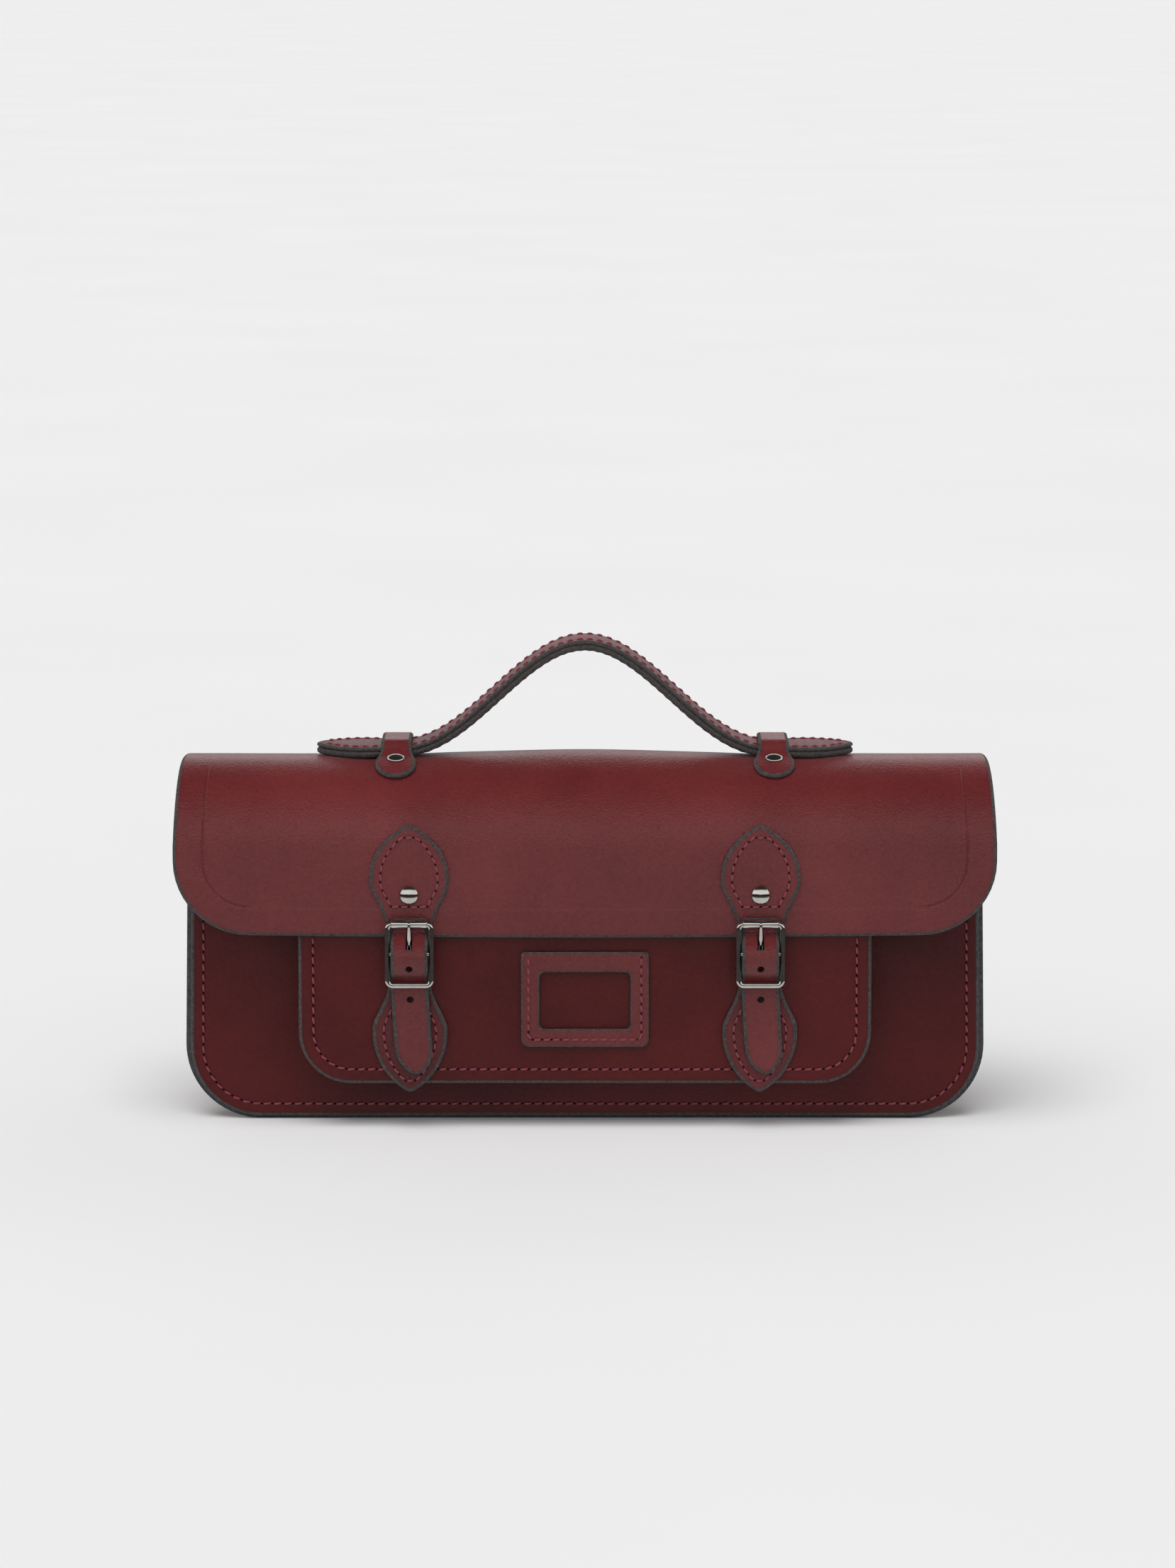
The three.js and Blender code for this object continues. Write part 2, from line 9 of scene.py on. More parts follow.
import bmesh
import bpy
import numpy as np
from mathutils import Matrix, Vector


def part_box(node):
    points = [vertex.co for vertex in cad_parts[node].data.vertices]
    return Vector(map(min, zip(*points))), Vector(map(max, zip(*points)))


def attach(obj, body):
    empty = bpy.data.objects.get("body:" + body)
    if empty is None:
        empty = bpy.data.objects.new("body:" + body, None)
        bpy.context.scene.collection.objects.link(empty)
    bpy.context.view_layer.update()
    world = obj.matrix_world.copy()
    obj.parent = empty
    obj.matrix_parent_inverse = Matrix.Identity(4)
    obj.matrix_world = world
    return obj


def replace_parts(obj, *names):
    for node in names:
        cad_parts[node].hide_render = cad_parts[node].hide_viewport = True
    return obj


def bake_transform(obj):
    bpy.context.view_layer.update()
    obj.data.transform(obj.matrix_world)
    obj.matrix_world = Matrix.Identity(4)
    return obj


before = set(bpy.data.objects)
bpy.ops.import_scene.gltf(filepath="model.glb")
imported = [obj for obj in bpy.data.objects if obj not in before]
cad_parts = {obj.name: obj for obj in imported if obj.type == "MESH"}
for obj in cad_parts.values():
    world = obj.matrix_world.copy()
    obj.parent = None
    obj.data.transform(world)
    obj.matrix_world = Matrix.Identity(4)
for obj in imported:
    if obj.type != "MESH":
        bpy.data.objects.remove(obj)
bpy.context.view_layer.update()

FRONT_Y = -41.5  # outer face of the front panel, in mm from the middle of the body
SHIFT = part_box("front_panel")[0].y * 1000 - FRONT_Y
print(len(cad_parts), "solids; the body's middle is", round(SHIFT, 3), "mm behind the origin")

# %% [markdown]
# ## Colours and nodes
#
# A colour picked from a swatch is an sRGB hex value, but a shader works in linear light, so one
# function does the change. One more adds a node, with its settings and its links, which keeps
# each finish below short enough to be read as a recipe.

# %% Helpers for finishes
def linear(swatch):
    """An sRGB hex value as linear red, green, blue and alpha."""
    c = np.array([int(swatch[i : i + 2], 16) for i in (1, 3, 5)]) / 255
    return (*np.where(c > 0.04045, ((c + 0.055) / 1.055) ** 2.4, c / 12.92), 1.0)


def add(tree, kind, inputs, **settings):
    """Adds a node. An input is a value, or (node, output) for a link to another node."""
    made = tree.nodes.new(kind)
    for key, value in settings.items():
        setattr(made, key, value)
    for socket, value in inputs.items():
        if isinstance(value, tuple) and isinstance(value[0], bpy.types.Node):
            tree.links.new(value[0].outputs[value[1]], made.inputs[socket])
        else:
            made.inputs[socket].default_value = value
    return made


def finish(name):
    """A new material with an empty node tree, and its texture coordinates."""
    material = bpy.data.materials.new(name)
    material.use_nodes = True
    material.node_tree.nodes.clear()
    return material, material.node_tree, add(material.node_tree, "ShaderNodeTexCoord", {})


def noise(tree, where, size_mm, detail=2.0, roughness=0.5, **more):
    """Noise whose blotches are about size_mm across."""
    inputs = {"Vector": (where, "Object"), "Scale": 1000 / size_mm, "Detail": detail}
    return add(tree, "ShaderNodeTexNoise", inputs | {"Roughness": roughness} | more)


def ramp(tree, factor, stops):
    """A colour ramp with its stops given as (place, swatch)."""
    made = add(tree, "ShaderNodeValToRGB", {"Fac": factor})
    made.color_ramp.elements[0].position, made.color_ramp.elements[1].position = 0, 1
    for _ in stops[2:]:
        made.color_ramp.elements.new(0.5)
    for element, (place, swatch) in zip(made.color_ramp.elements, stops):
        element.position, element.color = place, linear(swatch)
    return made


def spread(tree, value, low, high, start=0.0, end=1.0):
    """Maps a value from start-end to low-high."""
    given = {"Value": value, "From Min": start, "From Max": end, "To Min": low, "To Max": high}
    return add(tree, "ShaderNodeMapRange", given)


def surface(tree, shader, height, relief_mm):
    """Joins a shader to the output, its normal tilted by a height that spans relief_mm."""
    bump = add(tree, "ShaderNodeBump", {"Height": height, "Distance": relief_mm / 1000})
    tree.links.new(bump.outputs[0], shader.inputs["Normal"])
    add(tree, "ShaderNodeOutputMaterial", {"Surface": (shader, 0)})


# %% [markdown]
# ## The leathers
#
# The main hide is smooth oxblood leather: vegetable-tanned, drum-dyed, with a semi-gloss resin
# finish over a tight grain. Two layers of noise give it the cloudy depth of dyed skin, a fine
# cellular pattern gives pores about a millimetre apart, and a distance-to-the-edge value
# stored on each piece darkens the last two millimetres, where the knife and handling burnish
# it. The front panel, the pocket and the gussets take a darker copy of the same leather, with no
# sheen and a lower index of refraction: its darker dye is painted shade, for the shade that falls
# under the flap and the pocket.

# %% Smooth and pebbled leather
def leather(name, dark, mid, light, rough, grain_mm, grain_relief, sheen, ior=1.42):
    """Dyed, finished leather: cloudy colour, pores of grain_mm, a burnished rim."""
    material, tree, where = finish(name)
    cloud = noise(tree, where, 70, 5, 0.55)
    mottle = noise(tree, where, 2.2, 4, 0.6)
    both = add(
        tree, "ShaderNodeMath", {0: (mottle, 0), 1: 0.3, 2: (cloud, 0)}, operation="MULTIPLY_ADD"
    )
    dyed = ramp(tree, (both, 0), [(0.42, dark), (0.64, mid), (0.88, light)])
    inset = add(tree, "ShaderNodeAttribute", {}, attribute_name="inset_mm")
    rim = spread(tree, (inset, "Fac"), 0.55, 0, 0.4, 2.2)
    worn = add(
        tree, "ShaderNodeMix", {"Factor": (rim, 0), 6: (dyed, 0), 7: linear(dark)}, data_type="RGBA"
    )
    pores = add(
        tree, "ShaderNodeTexVoronoi",
        {"Vector": (where, "Object"), "Scale": 1000 / grain_mm, "Randomness": 1.0},
        feature="SMOOTH_F1",
    )
    wrinkle = noise(tree, where, 9, 6, 0.62)
    relief = add(
        tree, "ShaderNodeMath", {0: (wrinkle, 0), 1: 0.9, 2: (pores, "Distance")},
        operation="MULTIPLY_ADD",
    )
    gloss = spread(tree, (mottle, 0), rough - 0.06, rough + 0.07, 0.3, 0.7)
    skin = add(
        tree, "ShaderNodeBsdfPrincipled",
        {
            "Base Color": (worn, 2), "Roughness": (gloss, 0), "IOR": ior,
            "Sheen Weight": sheen, "Sheen Roughness": 0.45, "Sheen Tint": linear("#d8b4b4"),
        },
    )
    surface(tree, skin, (relief, 0), grain_relief)
    return material


FLAP_DYE = "#571a1c", "#612022", "#6b2729"  # dark, middle and light, for each hide
# The body's dye is darker than the flap's as painted shade: it stands for the shade under the flap
# and the pocket.
BODY_SHADED_DYE = "#3f0f10", "#4a1213", "#541617"
PEBBLED_DYE = "#431315", "#521b1d", "#682325"
SMOOTH = leather("smooth_oxblood_leather", *FLAP_DYE, 0.38, 0.9, 0.34, 0.2, 1.48)
BODY_PAINTED_SHADE = leather("smooth_oxblood_body_leather_painted_shade", *BODY_SHADED_DYE, 0.42, 0.9, 0.22, 0.0, 1.32)
PEBBLED = leather("pebbled_oxblood_leather", *PEBBLED_DYE, 0.46, 1.5, 0.4, 0.12)
print("leathers:", SMOOTH.name, BODY_PAINTED_SHADE.name, PEBBLED.name)

# %% [markdown]
# The cut edge is left raw: a dense felt of charcoal-dyed fibres, with paler ends that catch the
# light. Stretched noise, finer across the edge than along it, reads as layered fibre. The flesh
# side, inside the bag and under the handle, is the same fibre brushed to a nap.

# %% Raw edge and flesh side
def fibre(name, dark, pale, rough, size_mm, relief_mm, sheen):
    """Matt felted fibre: two noises for tufts and single fibres."""
    material, tree, where = finish(name)
    tufts = noise(tree, where, size_mm * 3, 5, 0.7)
    single = noise(tree, where, size_mm, 6, 0.8)
    mix = add(tree, "ShaderNodeMath", {0: (tufts, 0), 1: (single, 0)}, operation="MULTIPLY")
    tone = ramp(tree, (mix, 0), [(0.12, dark), (0.42, pale)])
    nap = add(
        tree, "ShaderNodeBsdfPrincipled",
        {"Base Color": (tone, 0), "Roughness": rough, "IOR": 1.4, "Sheen Weight": sheen,
         "Sheen Roughness": 0.4},
    )
    surface(tree, nap, (mix, 0), relief_mm)
    return material


EDGE = fibre("raw_cut_edge_charcoal", "#201f20", "#615a59", 0.95, 0.5, 0.75, 0.12)
FLESH = fibre("flesh_side_charcoal_nap", "#1e1f21", "#55565a", 0.95, 0.7, 0.5, 0.15)
print("fibres:", EDGE.name, FLESH.name)

# %% [markdown]
# The thread is three-ply waxed polyester, a shade brighter and pinker than the leather. The
# stitches carry a UV map that runs along each one, so slanted bands on it draw the twist of the
# plies. Needle holes are flat, nearly black discs laid on the leather: their darkness is painted
# shade for the depth of each hole. The metal is bright nickel plate on polished steel,
# with a faint haze from plating, and the default index of refraction that metals keep.

# %% Thread, needle holes and nickel
def make_thread():
    """Waxed thread: bands slanted across the stitch's own UV for its plies."""
    material, tree, where = finish("waxed_polyester_thread")
    plies = add(
        tree, "ShaderNodeTexWave", {"Vector": (where, "UV"), "Scale": 1.1, "Distortion": 0.6},
        bands_direction="DIAGONAL",
    )
    tone = ramp(tree, (plies, 1), [(0.1, "#63242d"), (0.8, "#9a4452")])
    twist = add(
        tree, "ShaderNodeBsdfPrincipled",
        {"Base Color": (tone, 0), "Roughness": 0.55, "IOR": 1.5, "Sheen Weight": 0.2,
         "Sheen Tint": linear("#d08a96")},
    )
    surface(tree, twist, (plies, 1), 0.15)
    return material


def make_nickel():
    """Plated nickel: a warm grey mirror, very slightly rippled and hazed."""
    material, tree, where = finish("polished_nickel_plate")
    ripple = noise(tree, where, 6, 2)
    haze = noise(tree, where, 1.5, 4, 0.6)
    gloss = spread(tree, (haze, 0), 0.03, 0.09, 0.3, 0.75)
    tone = ramp(tree, (ripple, 0), [(0.3, "#bfbab4"), (0.7, "#d2cec9")])
    metal = add(
        tree, "ShaderNodeBsdfPrincipled",
        {"Base Color": (tone, 0), "Metallic": 1.0, "Roughness": (gloss, 0)},
    )
    surface(tree, metal, (ripple, 0), 0.06)
    return material


def make_hole_shade():
    """A needle hole's painted shade: a matt, nearly black disc that stands for the dark inside of
    the hole.
    """
    material, tree, where = finish("needle_hole_painted_shade")
    depth = noise(tree, where, 0.6, 3)
    tone = ramp(tree, (depth, 0), [(0.2, "#0a0405"), (0.8, "#1c0a0b")])
    dark = add(
        tree, "ShaderNodeBsdfPrincipled",
        {"Base Color": (tone, 0), "Roughness": 1.0, "Specular IOR Level": 0.1},
    )
    surface(tree, dark, (depth, 0), 0.1)
    return material


THREAD, NICKEL, HOLE_SHADE = make_thread(), make_nickel(), make_hole_shade()
print("sewing and metal:", THREAD.name, NICKEL.name, HOLE_SHADE.name)

# %% [markdown]
# ## Leather as a cut pattern
#
# Each leather piece starts as a flat pattern: x across and s along the hide, in millimetres. A
# large piece has rounded corners and seams that follow its edge, so its mesh is a set of
# closed rings stepping in from the edge, with a plain grid filling the middle. Close rings
# where a seam or a crease runs let that line be pressed into the surface as real relief.

# %% Flat patterns
def corner_loop(half, low, high, radii, inset, step, arc=12):
    """A box outline with its two lower and two upper corners rounded, pulled in by an inset.

    Each corner is an arc about its own centre, and straight sides join the arcs at even steps.
    The loop is anticlockwise and starts in the middle of the lower left arc.
    """
    across = max(int(2 * half / step), 4)
    along = max(int((high - low) / step), 4)
    points = []
    for k, (side, level) in enumerate([(-1, low), (1, low), (1, high), (-1, high)]):
        radius = max(radii[k // 2] - inset, 0.4)
        centre_x = side * (half - inset - radius)
        centre_s = level + (inset + radius) * (1 if k < 2 else -1)
        angle = np.radians(180 + 90 * k) + np.linspace(0, np.pi / 2, arc + 1)
        bend = np.stack([centre_x + radius * np.cos(angle), centre_s + radius * np.sin(angle)], 1)
        if points:
            steps = across if k in (1, 3) else along
            mix = np.linspace(0, 1, steps + 1)[1:-1, None]
            points.append(points[-1][-1] * (1 - mix) + bend[0] * mix)
        points.append(bend)
    mix = np.linspace(0, 1, along + 1)[1:-1, None]
    points.append(points[-1][-1] * (1 - mix) + points[0][0] * mix)
    loop = np.roll(np.concatenate(points), -arc // 2, axis=0)
    return loop, across + arc, along + arc


def quads(grid):
    """The faces between the rows and columns of a grid of point numbers, or of many grids."""
    first, second = grid[..., :-1, :], grid[..., 1:, :]
    corners = [first[..., :-1], first[..., 1:], second[..., 1:], second[..., :-1]]
    return np.stack(corners, -1).reshape(-1, 4)


def wrapped(grid):
    """A grid of point numbers with its first column repeated at the end, to close it round."""
    return np.concatenate([grid, grid[..., :1]], -1)


def run_length(points):
    """The distance along a polyline to each of its points: the running sum of its steps."""
    return np.concatenate([[0], np.cumsum(np.linalg.norm(np.diff(points, axis=0), axis=1))])


def on_path(points, length, at):
    """The point at a distance along a polyline, one column for each coordinate."""
    return np.stack([np.interp(at, length, points[:, k]) for k in range(points.shape[1])], -1)


def ringed(half, low, high, radii, insets, step):
    """A rounded-box pattern: closed rings at the insets, then a grid that fills the last one.

    The grid's inner points are the Coons blend of the last ring's four sides: the two blends of
    opposite sides, less the blend of the four corners. Returns points, faces, edge loop, insets.
    """
    rings = [corner_loop(half, low, high, radii, d, step) for d in insets]
    loops = np.stack([r[0] for r in rings])
    count, across, along = loops.shape[1], rings[0][1], rings[0][2]
    last = loops[-1]
    a, b, c = across, across + along, 2 * across + along
    bottom, right, top = last[: a + 1], last[a : b + 1], last[b : c + 1][::-1]
    left = np.concatenate([last[c:], last[:1]])[::-1]
    u = np.linspace(0, 1, a + 1)[None, :, None]
    v = np.linspace(0, 1, along + 1)[:, None, None]
    fill = (1 - v) * bottom[None] + v * top[None] + (1 - u) * left[:, None] + u * right[:, None]
    fill -= (1 - u) * (1 - v) * bottom[0] + u * (1 - v) * bottom[-1]
    fill -= (1 - u) * v * top[0] + u * v * top[-1]
    base = (len(insets) - 1) * count
    grid = np.zeros((along + 1, a + 1), int)
    grid[1:-1, 1:-1] = np.arange((along - 1) * (a - 1)).reshape(along - 1, a - 1)
    grid += len(insets) * count
    grid[0], grid[:, -1] = base + np.arange(a + 1), base + np.arange(a, b + 1)
    grid[-1] = (base + np.arange(b, c + 1))[::-1]
    grid[:, 0] = np.concatenate([base + np.arange(c, count), [base]])[::-1]
    turns = np.arange(len(insets) * count).reshape(len(insets), count)
    faces = quads(wrapped(turns).T[::-1])
    points = np.concatenate([loops.reshape(-1, 2), fill[1:-1, 1:-1].reshape(-1, 2)])
    inner = np.full(len(points) - loops[..., 0].size, insets[-1])
    depth = np.concatenate([np.repeat(insets, count), inner])
    return points, np.concatenate([faces, quads(grid)]), np.arange(count), depth


def striped(half_at, stations, columns=13):
    """A strip pattern: x is a share of the half width at s, closer together at the two sides."""
    s = np.asarray(stations, float)
    share = np.sin(np.linspace(-np.pi / 2, np.pi / 2, columns))
    x = half_at(s)[:, None] * share
    grid = np.arange(x.size).reshape(x.shape)
    points = np.stack([x, np.broadcast_to(s[:, None], x.shape)], -1).reshape(-1, 2)
    loop = np.concatenate([grid[0], grid[1:, -1], grid[-1, -2::-1], grid[-2:0:-1, 0]])
    edge = (half_at(s)[:, None] * (1 - np.abs(share))).reshape(-1)
    ends = np.minimum(points[:, 1] - s[0], s[-1] - points[:, 1])
    return points, quads(grid), loop, np.minimum(edge, ends) + 0.5


sample = ringed(100, 0, 60, (20, 2), [0.5, 3, 6], 6)
print("a test pattern has", len(sample[0]), "points and", len(sample[1]), "faces")

# %% [markdown]
# ## From pattern to hide
#
# A `lay` function says where a pattern point lies on the bag. Its slopes along x and s give the
# outward normal, and the flesh side is the same surface a hide's thickness behind. Between them
# runs the cut edge: a row of points carried round the pattern's rim, a little proud in the
# middle, with its corners eased. Grain side, edge and flesh side take their own finishes.

# %% Build a leather piece
EASED = [(0.7, 0.06), (1.35, 0.22), (1.65, 0.5), (1.35, 0.8), (0.6, 0.97)]
# For each row of the cut edge: how far it stands out in mm, and its share of the thickness.


def unit(vectors):
    """Each vector over its length."""
    return vectors / np.maximum(np.linalg.norm(vectors, axis=-1, keepdims=True), 1e-9)


def normals(lay, x, s):
    """The cross product of the surface's slopes along x and along s."""
    h = 0.05
    return unit(np.cross(lay(x + h, s) - lay(x - h, s), lay(x, s + h) - lay(x, s - h)))


def make_mesh(name, points, faces, finishes, which=0, values=None, uv=None):
    """Puts millimetre points, measured from the middle of the body, into a smooth mesh object."""
    mesh = bpy.data.meshes.new(name)
    placed = (np.asarray(points) + (0, SHIFT, 0)) / 1000
    sizes = np.full(len(faces), faces.shape[1])
    slots = np.broadcast_to(which, len(faces)).astype(np.int32)
    mesh.vertices.add(len(placed))
    mesh.vertices.foreach_set("co", placed.astype(np.float32).ravel())
    mesh.loops.add(faces.size)
    mesh.loops.foreach_set("vertex_index", faces.ravel().astype(np.int32))
    mesh.polygons.add(len(faces))
    mesh.polygons.foreach_set("loop_start", (np.cumsum(sizes) - sizes).astype(np.int32))
    mesh.polygons.foreach_set("material_index", slots)
    for made in finishes:
        mesh.materials.append(made)
    if values is not None:
        inset = mesh.attributes.new("inset_mm", "FLOAT", "POINT")
        inset.data.foreach_set("value", values.astype(np.float32))
    if uv is not None:
        layer = mesh.uv_layers.new(name="UVMap")
        layer.data.foreach_set("uv", uv[faces.ravel()].astype(np.float32).ravel())
    mesh.update(calc_edges=True)
    mesh.validate()
    mesh.shade_smooth()
    made = bpy.data.objects.new(name, mesh)
    bpy.context.scene.collection.objects.link(made)
    return made


def hide(name, cut, lay, thick, relief=None, finishes=None, flesh_relief=None):
    """A leather piece: grain side, eased cut edge and flesh side, closed all round."""
    points, faces, loop, inset = cut
    x, s = points.T
    face, n = lay(x, s), normals(lay, x, s)
    rim, rim_n = face[loop], n[loop]
    along = unit(np.roll(rim, -1, 0) - np.roll(rim, 1, 0))
    out = unit(np.cross(along, rim_n))
    wall = [rim + out * o - rim_n * (thick * d) for o, d in EASED]
    grain = face + (n * relief(x, s)[:, None] if relief else 0)
    back = face - n * thick - (n * flesh_relief(x, s)[:, None] if flesh_relief else 0)
    whole = np.concatenate([grain, back, *wall])
    rows = [loop] + [2 * len(x) + i * len(loop) + np.arange(len(loop)) for i in range(len(wall))]
    sides = quads(wrapped(np.stack([*rows, len(x) + loop])))[:, ::-1]
    band = np.repeat([1] * len(EASED) + [2], len(loop))
    everything = np.concatenate([faces, faces[:, ::-1] + len(x), sides])
    which = np.concatenate([np.zeros(len(faces)), np.full(len(faces), 2), band])
    values = np.concatenate([inset, inset, np.zeros(len(whole) - 2 * len(x))])
    made = make_mesh(name, whole, everything, finishes or [SMOOTH, EDGE, FLESH], which, values)
    print(name, "has", len(everything), "faces")
    return made


def groove(distance, at, width, depth):
    """A pressed line: minus a bell curve of the distance from the line's place."""
    return -depth * np.exp(-(((distance - at) / width) ** 2))


def edge_distance(x, s, half, low, high, radii):
    """How far a pattern point is inside a rounded box, by the box's signed distance."""
    middle, reach = (low + high) / 2, (high - low) / 2
    radius = np.where(s < middle, radii[0], radii[1])
    qx, qs = np.abs(x) - half + radius, np.abs(s - middle) - reach + radius
    outside = np.hypot(np.maximum(qx, 0), np.maximum(qs, 0))
    return -(np.minimum(np.maximum(qx, qs), 0) + outside - radius)


# %% [markdown]
# ## The body
#
# Front panel and pocket are flat patterns with round lower corners. Leather this thick does not
# stay flat: filled and handled, a panel swells gently in the middle and ripples near its seams,
# so `lay` adds a low dome and a slow wave. The seam sinks under its thread as a pressed groove.
# The shapes are given by formula and not by a cloth simulation, because hide this stiff holds
# its form and barely drapes.

# %% Front panel and pocket face
PANEL_HALF, PANEL_LOW, PANEL_TOP, PANEL_CORNER, TAPER = 199, 2.7, 162, 35, 2
POCKET_HALF, POCKET_LOW, POCKET_TOP, POCKET_CORNER, POCKET_Y = 142.5, 24.4, 136, 25, -65
HIDE = 3
PANEL_SEAM, POCKET_SEAM = 5.3, 6.3  # from each piece's own edge
SEAM_RINGS = [0.5, 1.3, 2.6, 4, 4.8, 5.3, 5.8, 6.3, 6.9, 8, 10, 14, 20]
SEAM_SINK = 0.9, 0.35  # width and depth of the groove under a seam
PAST_TOP = 60  # a seam's line is drawn this far past the open edge, so that it never turns there
SQUARE = 2  # radius of a nearly square upper corner
PANEL_RADII, POCKET_RADII = (PANEL_CORNER, SQUARE), (POCKET_CORNER, SQUARE)
GUSSET_TOP = 158


def dome(x, s, half, low, high, rise):
    """A swelling that is highest in the middle and dies away smoothly to the four sides."""
    across = np.clip(1 - (x / half) ** 2, 0, 1)
    up = np.clip((s - low) / (high - low), 0, 1)
    return rise * across**0.8 * np.sin(np.pi * up)


def ripple(x, s, size):
    """A slow unevenness: three crossing sine waves, 60 to 150 mm long."""
    waves = np.sin(x / 23 + s / 31) + np.sin(x / 17 - s / 19 + 1.3) + np.sin(s / 11 + x / 47 + 4)
    return size * waves / 3


def lay_front(x, s):
    """Upright at the front of the body, leaning in a little towards the mouth."""
    out = dome(x, s, PANEL_HALF, 8, 175, 1.6) + ripple(x, s, 0.35)
    return np.stack([x * (1 - TAPER / PANEL_HALF * s / GUSSET_TOP), FRONT_Y - out, s], -1)


def lay_pocket(x, s):
    """Upright on the pocket's gusset, swelling more than the panel behind it."""
    out = dome(x, s, POCKET_HALF, POCKET_LOW, 150, 1.2) + ripple(x, s, 0.2)
    return np.stack([x, POCKET_Y - out, s], -1)


def pressed(half, low, high, radii, seam):
    """The groove under a seam, which stops short of the top edge."""
    def relief(x, s):
        """A groove at the seam's distance inside the edge."""
        return groove(edge_distance(x, s, half, low, high + PAST_TOP, radii), seam, *SEAM_SINK)

    return relief


# The body's pieces take the darker leather, whose extra darkness is painted shade.
ON_BODY = [BODY_PAINTED_SHADE, EDGE, FLESH]
panel_cut = ringed(PANEL_HALF, PANEL_LOW, PANEL_TOP, PANEL_RADII, SEAM_RINGS, 3.4)
front_relief = pressed(PANEL_HALF, PANEL_LOW, PANEL_TOP, PANEL_RADII, PANEL_SEAM)
front = hide("front_panel_leather", panel_cut, lay_front, HIDE, front_relief, ON_BODY)
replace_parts(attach(front, "bag"), "front_panel")

pocket_cut = ringed(POCKET_HALF, POCKET_LOW, POCKET_TOP, POCKET_RADII, SEAM_RINGS, 2.6)
pocket_relief = pressed(POCKET_HALF, POCKET_LOW, POCKET_TOP, POCKET_RADII, POCKET_SEAM)
pocket = hide("pocket_panel_leather", pocket_cut, lay_pocket, HIDE, pocket_relief, ON_BODY)
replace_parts(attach(pocket, "bag"), "pocket_panel")

# %% [markdown]
# ## The flap and the back, one hide
#
# Back and flap are a single piece of leather. Its pattern runs from the flap's lower edge, up
# the hanging front, round the bend, over the shallow crown, round the fold and down the back. A
# creasing iron has drawn a fine line 13.7 mm inside the flap's edge. The whole hide is laid in
# place as one fixed piece.

# %% The bag's section
BEND_Y, BEND_Z, BEND, CROWN, TURN = -29.5, 144.0, 40.0, 170.0, np.radians(16.9)
FLAP_LOW, FLAP_Y, BACK_Y = 101.0, -69.5, 41.5
FOLD = (BACK_Y - BEND_Y - CROWN * np.sin(TURN)) / (1 - np.sin(TURN))
FOLD_Y = BACK_Y - FOLD
FOLD_Z = BEND_Z + BEND - CROWN + (CROWN - FOLD) * np.cos(TURN)


def section_points():
    """The hide's outer line [y, z]: front, bend, crown, fold and back, joined end to end."""
    def arc(y, z, radius, start, end, steps):
        """Points round a centre from one angle to another."""
        angle = np.linspace(start, end, steps)
        return np.stack([y + radius * np.cos(angle), z + radius * np.sin(angle)], 1)

    right = np.pi / 2
    crown_z = BEND_Z + BEND - CROWN
    rows = [
        np.stack([np.full(40, FLAP_Y), np.linspace(FLAP_LOW, BEND_Z, 40)], 1),
        arc(BEND_Y, BEND_Z, BEND, 2 * right, right, 90)[1:],
        arc(BEND_Y, crown_z, CROWN, right, right - TURN, 60)[1:],
        arc(FOLD_Y, FOLD_Z, FOLD, right - TURN, 0, 60)[1:],
        np.stack([np.full(120, BACK_Y), np.linspace(FOLD_Z, 0, 120)], 1)[1:],
    ]
    return np.concatenate(rows)


SECTION = section_points()
LENGTH = run_length(SECTION)
HIDE_LONG = LENGTH[-1]
print("the back and flap hide is", round(HIDE_LONG, 1), "mm long before it is bent")

# %% Lay the hide over the bag
FLAP_HALF, FLAP_CORNER = 204.5, 36
HIDE_RADII = (FLAP_CORNER, 35)
WIDTH_STOPS = ([0, 43, 106, 156, 195, HIDE_LONG], [204.5, 204.5, 201.8, 201, 197.6, 199])
CREASE = 13.7
HIDE_RINGS = [0.5, 1.3, 2.6, 4, 4.8, 5.3, 5.8, 6.6, 8.5, 11]  # round the seam, then the crease
HIDE_RINGS += [12.6, 13.2, 13.5, 13.7, 13.9, 14.2, 14.7, 15.4, 17, 20]


def section_at(s, lift):
    """The point at a length s along the section, moved out by a lift across the line."""
    s = np.asarray(s, float)
    place = on_path(SECTION, LENGTH, s)
    y, z = place[..., 0], place[..., 1]
    over = np.clip(s - HIDE_LONG, 0, None) + np.clip(s, None, 0)
    z = z + np.where(s < 0, over, -over)
    h = 3.0  # a slope over this length rounds off the joins of the arcs
    slope = on_path(SECTION, LENGTH, s + h) - on_path(SECTION, LENGTH, s - h)
    dy, dz = slope[..., 0], slope[..., 1]
    size = np.maximum(np.hypot(dy, dz), 1e-9)
    return y - dz / size * lift, z + dy / size * lift


def bell(value, centre, width):
    """One at the centre, falling smoothly to nothing some widths away."""
    return np.exp(-(((value - centre) / width) ** 2))


def lay_hide(x, s):
    """Along the section, domed on the front and crown, with a sag at the middle of the edge."""
    share = x / FLAP_HALF
    wide = np.interp(s, *WIDTH_STOPS) / FLAP_HALF
    front = np.clip(1 - s / 90, 0, 1)
    bulge = 1 - share**2
    lift = 1.0 * bulge * bell(s, 45, 45) + 2.2 * bell(x, 0, 62) * bell(s, 118, 38)
    lift = lift - 0.9 * bell(np.abs(x), 97, 20) * bell(s, 112, 34)
    lift = lift + ripple(x, s, 0.3) * bell(s, 60, 80)
    lift = lift + 1.4 * bulge * bell(s, 262, 60) + 0.9 * np.abs(share) ** 9 * bell(s, 30, 40)
    sag = -1.3 * front * bulge**1.5 + 0.5 * front * np.abs(share) ** 6
    y, z = section_at(s + 0 * x, lift)
    return np.stack([x * wide, y, z + sag], -1)


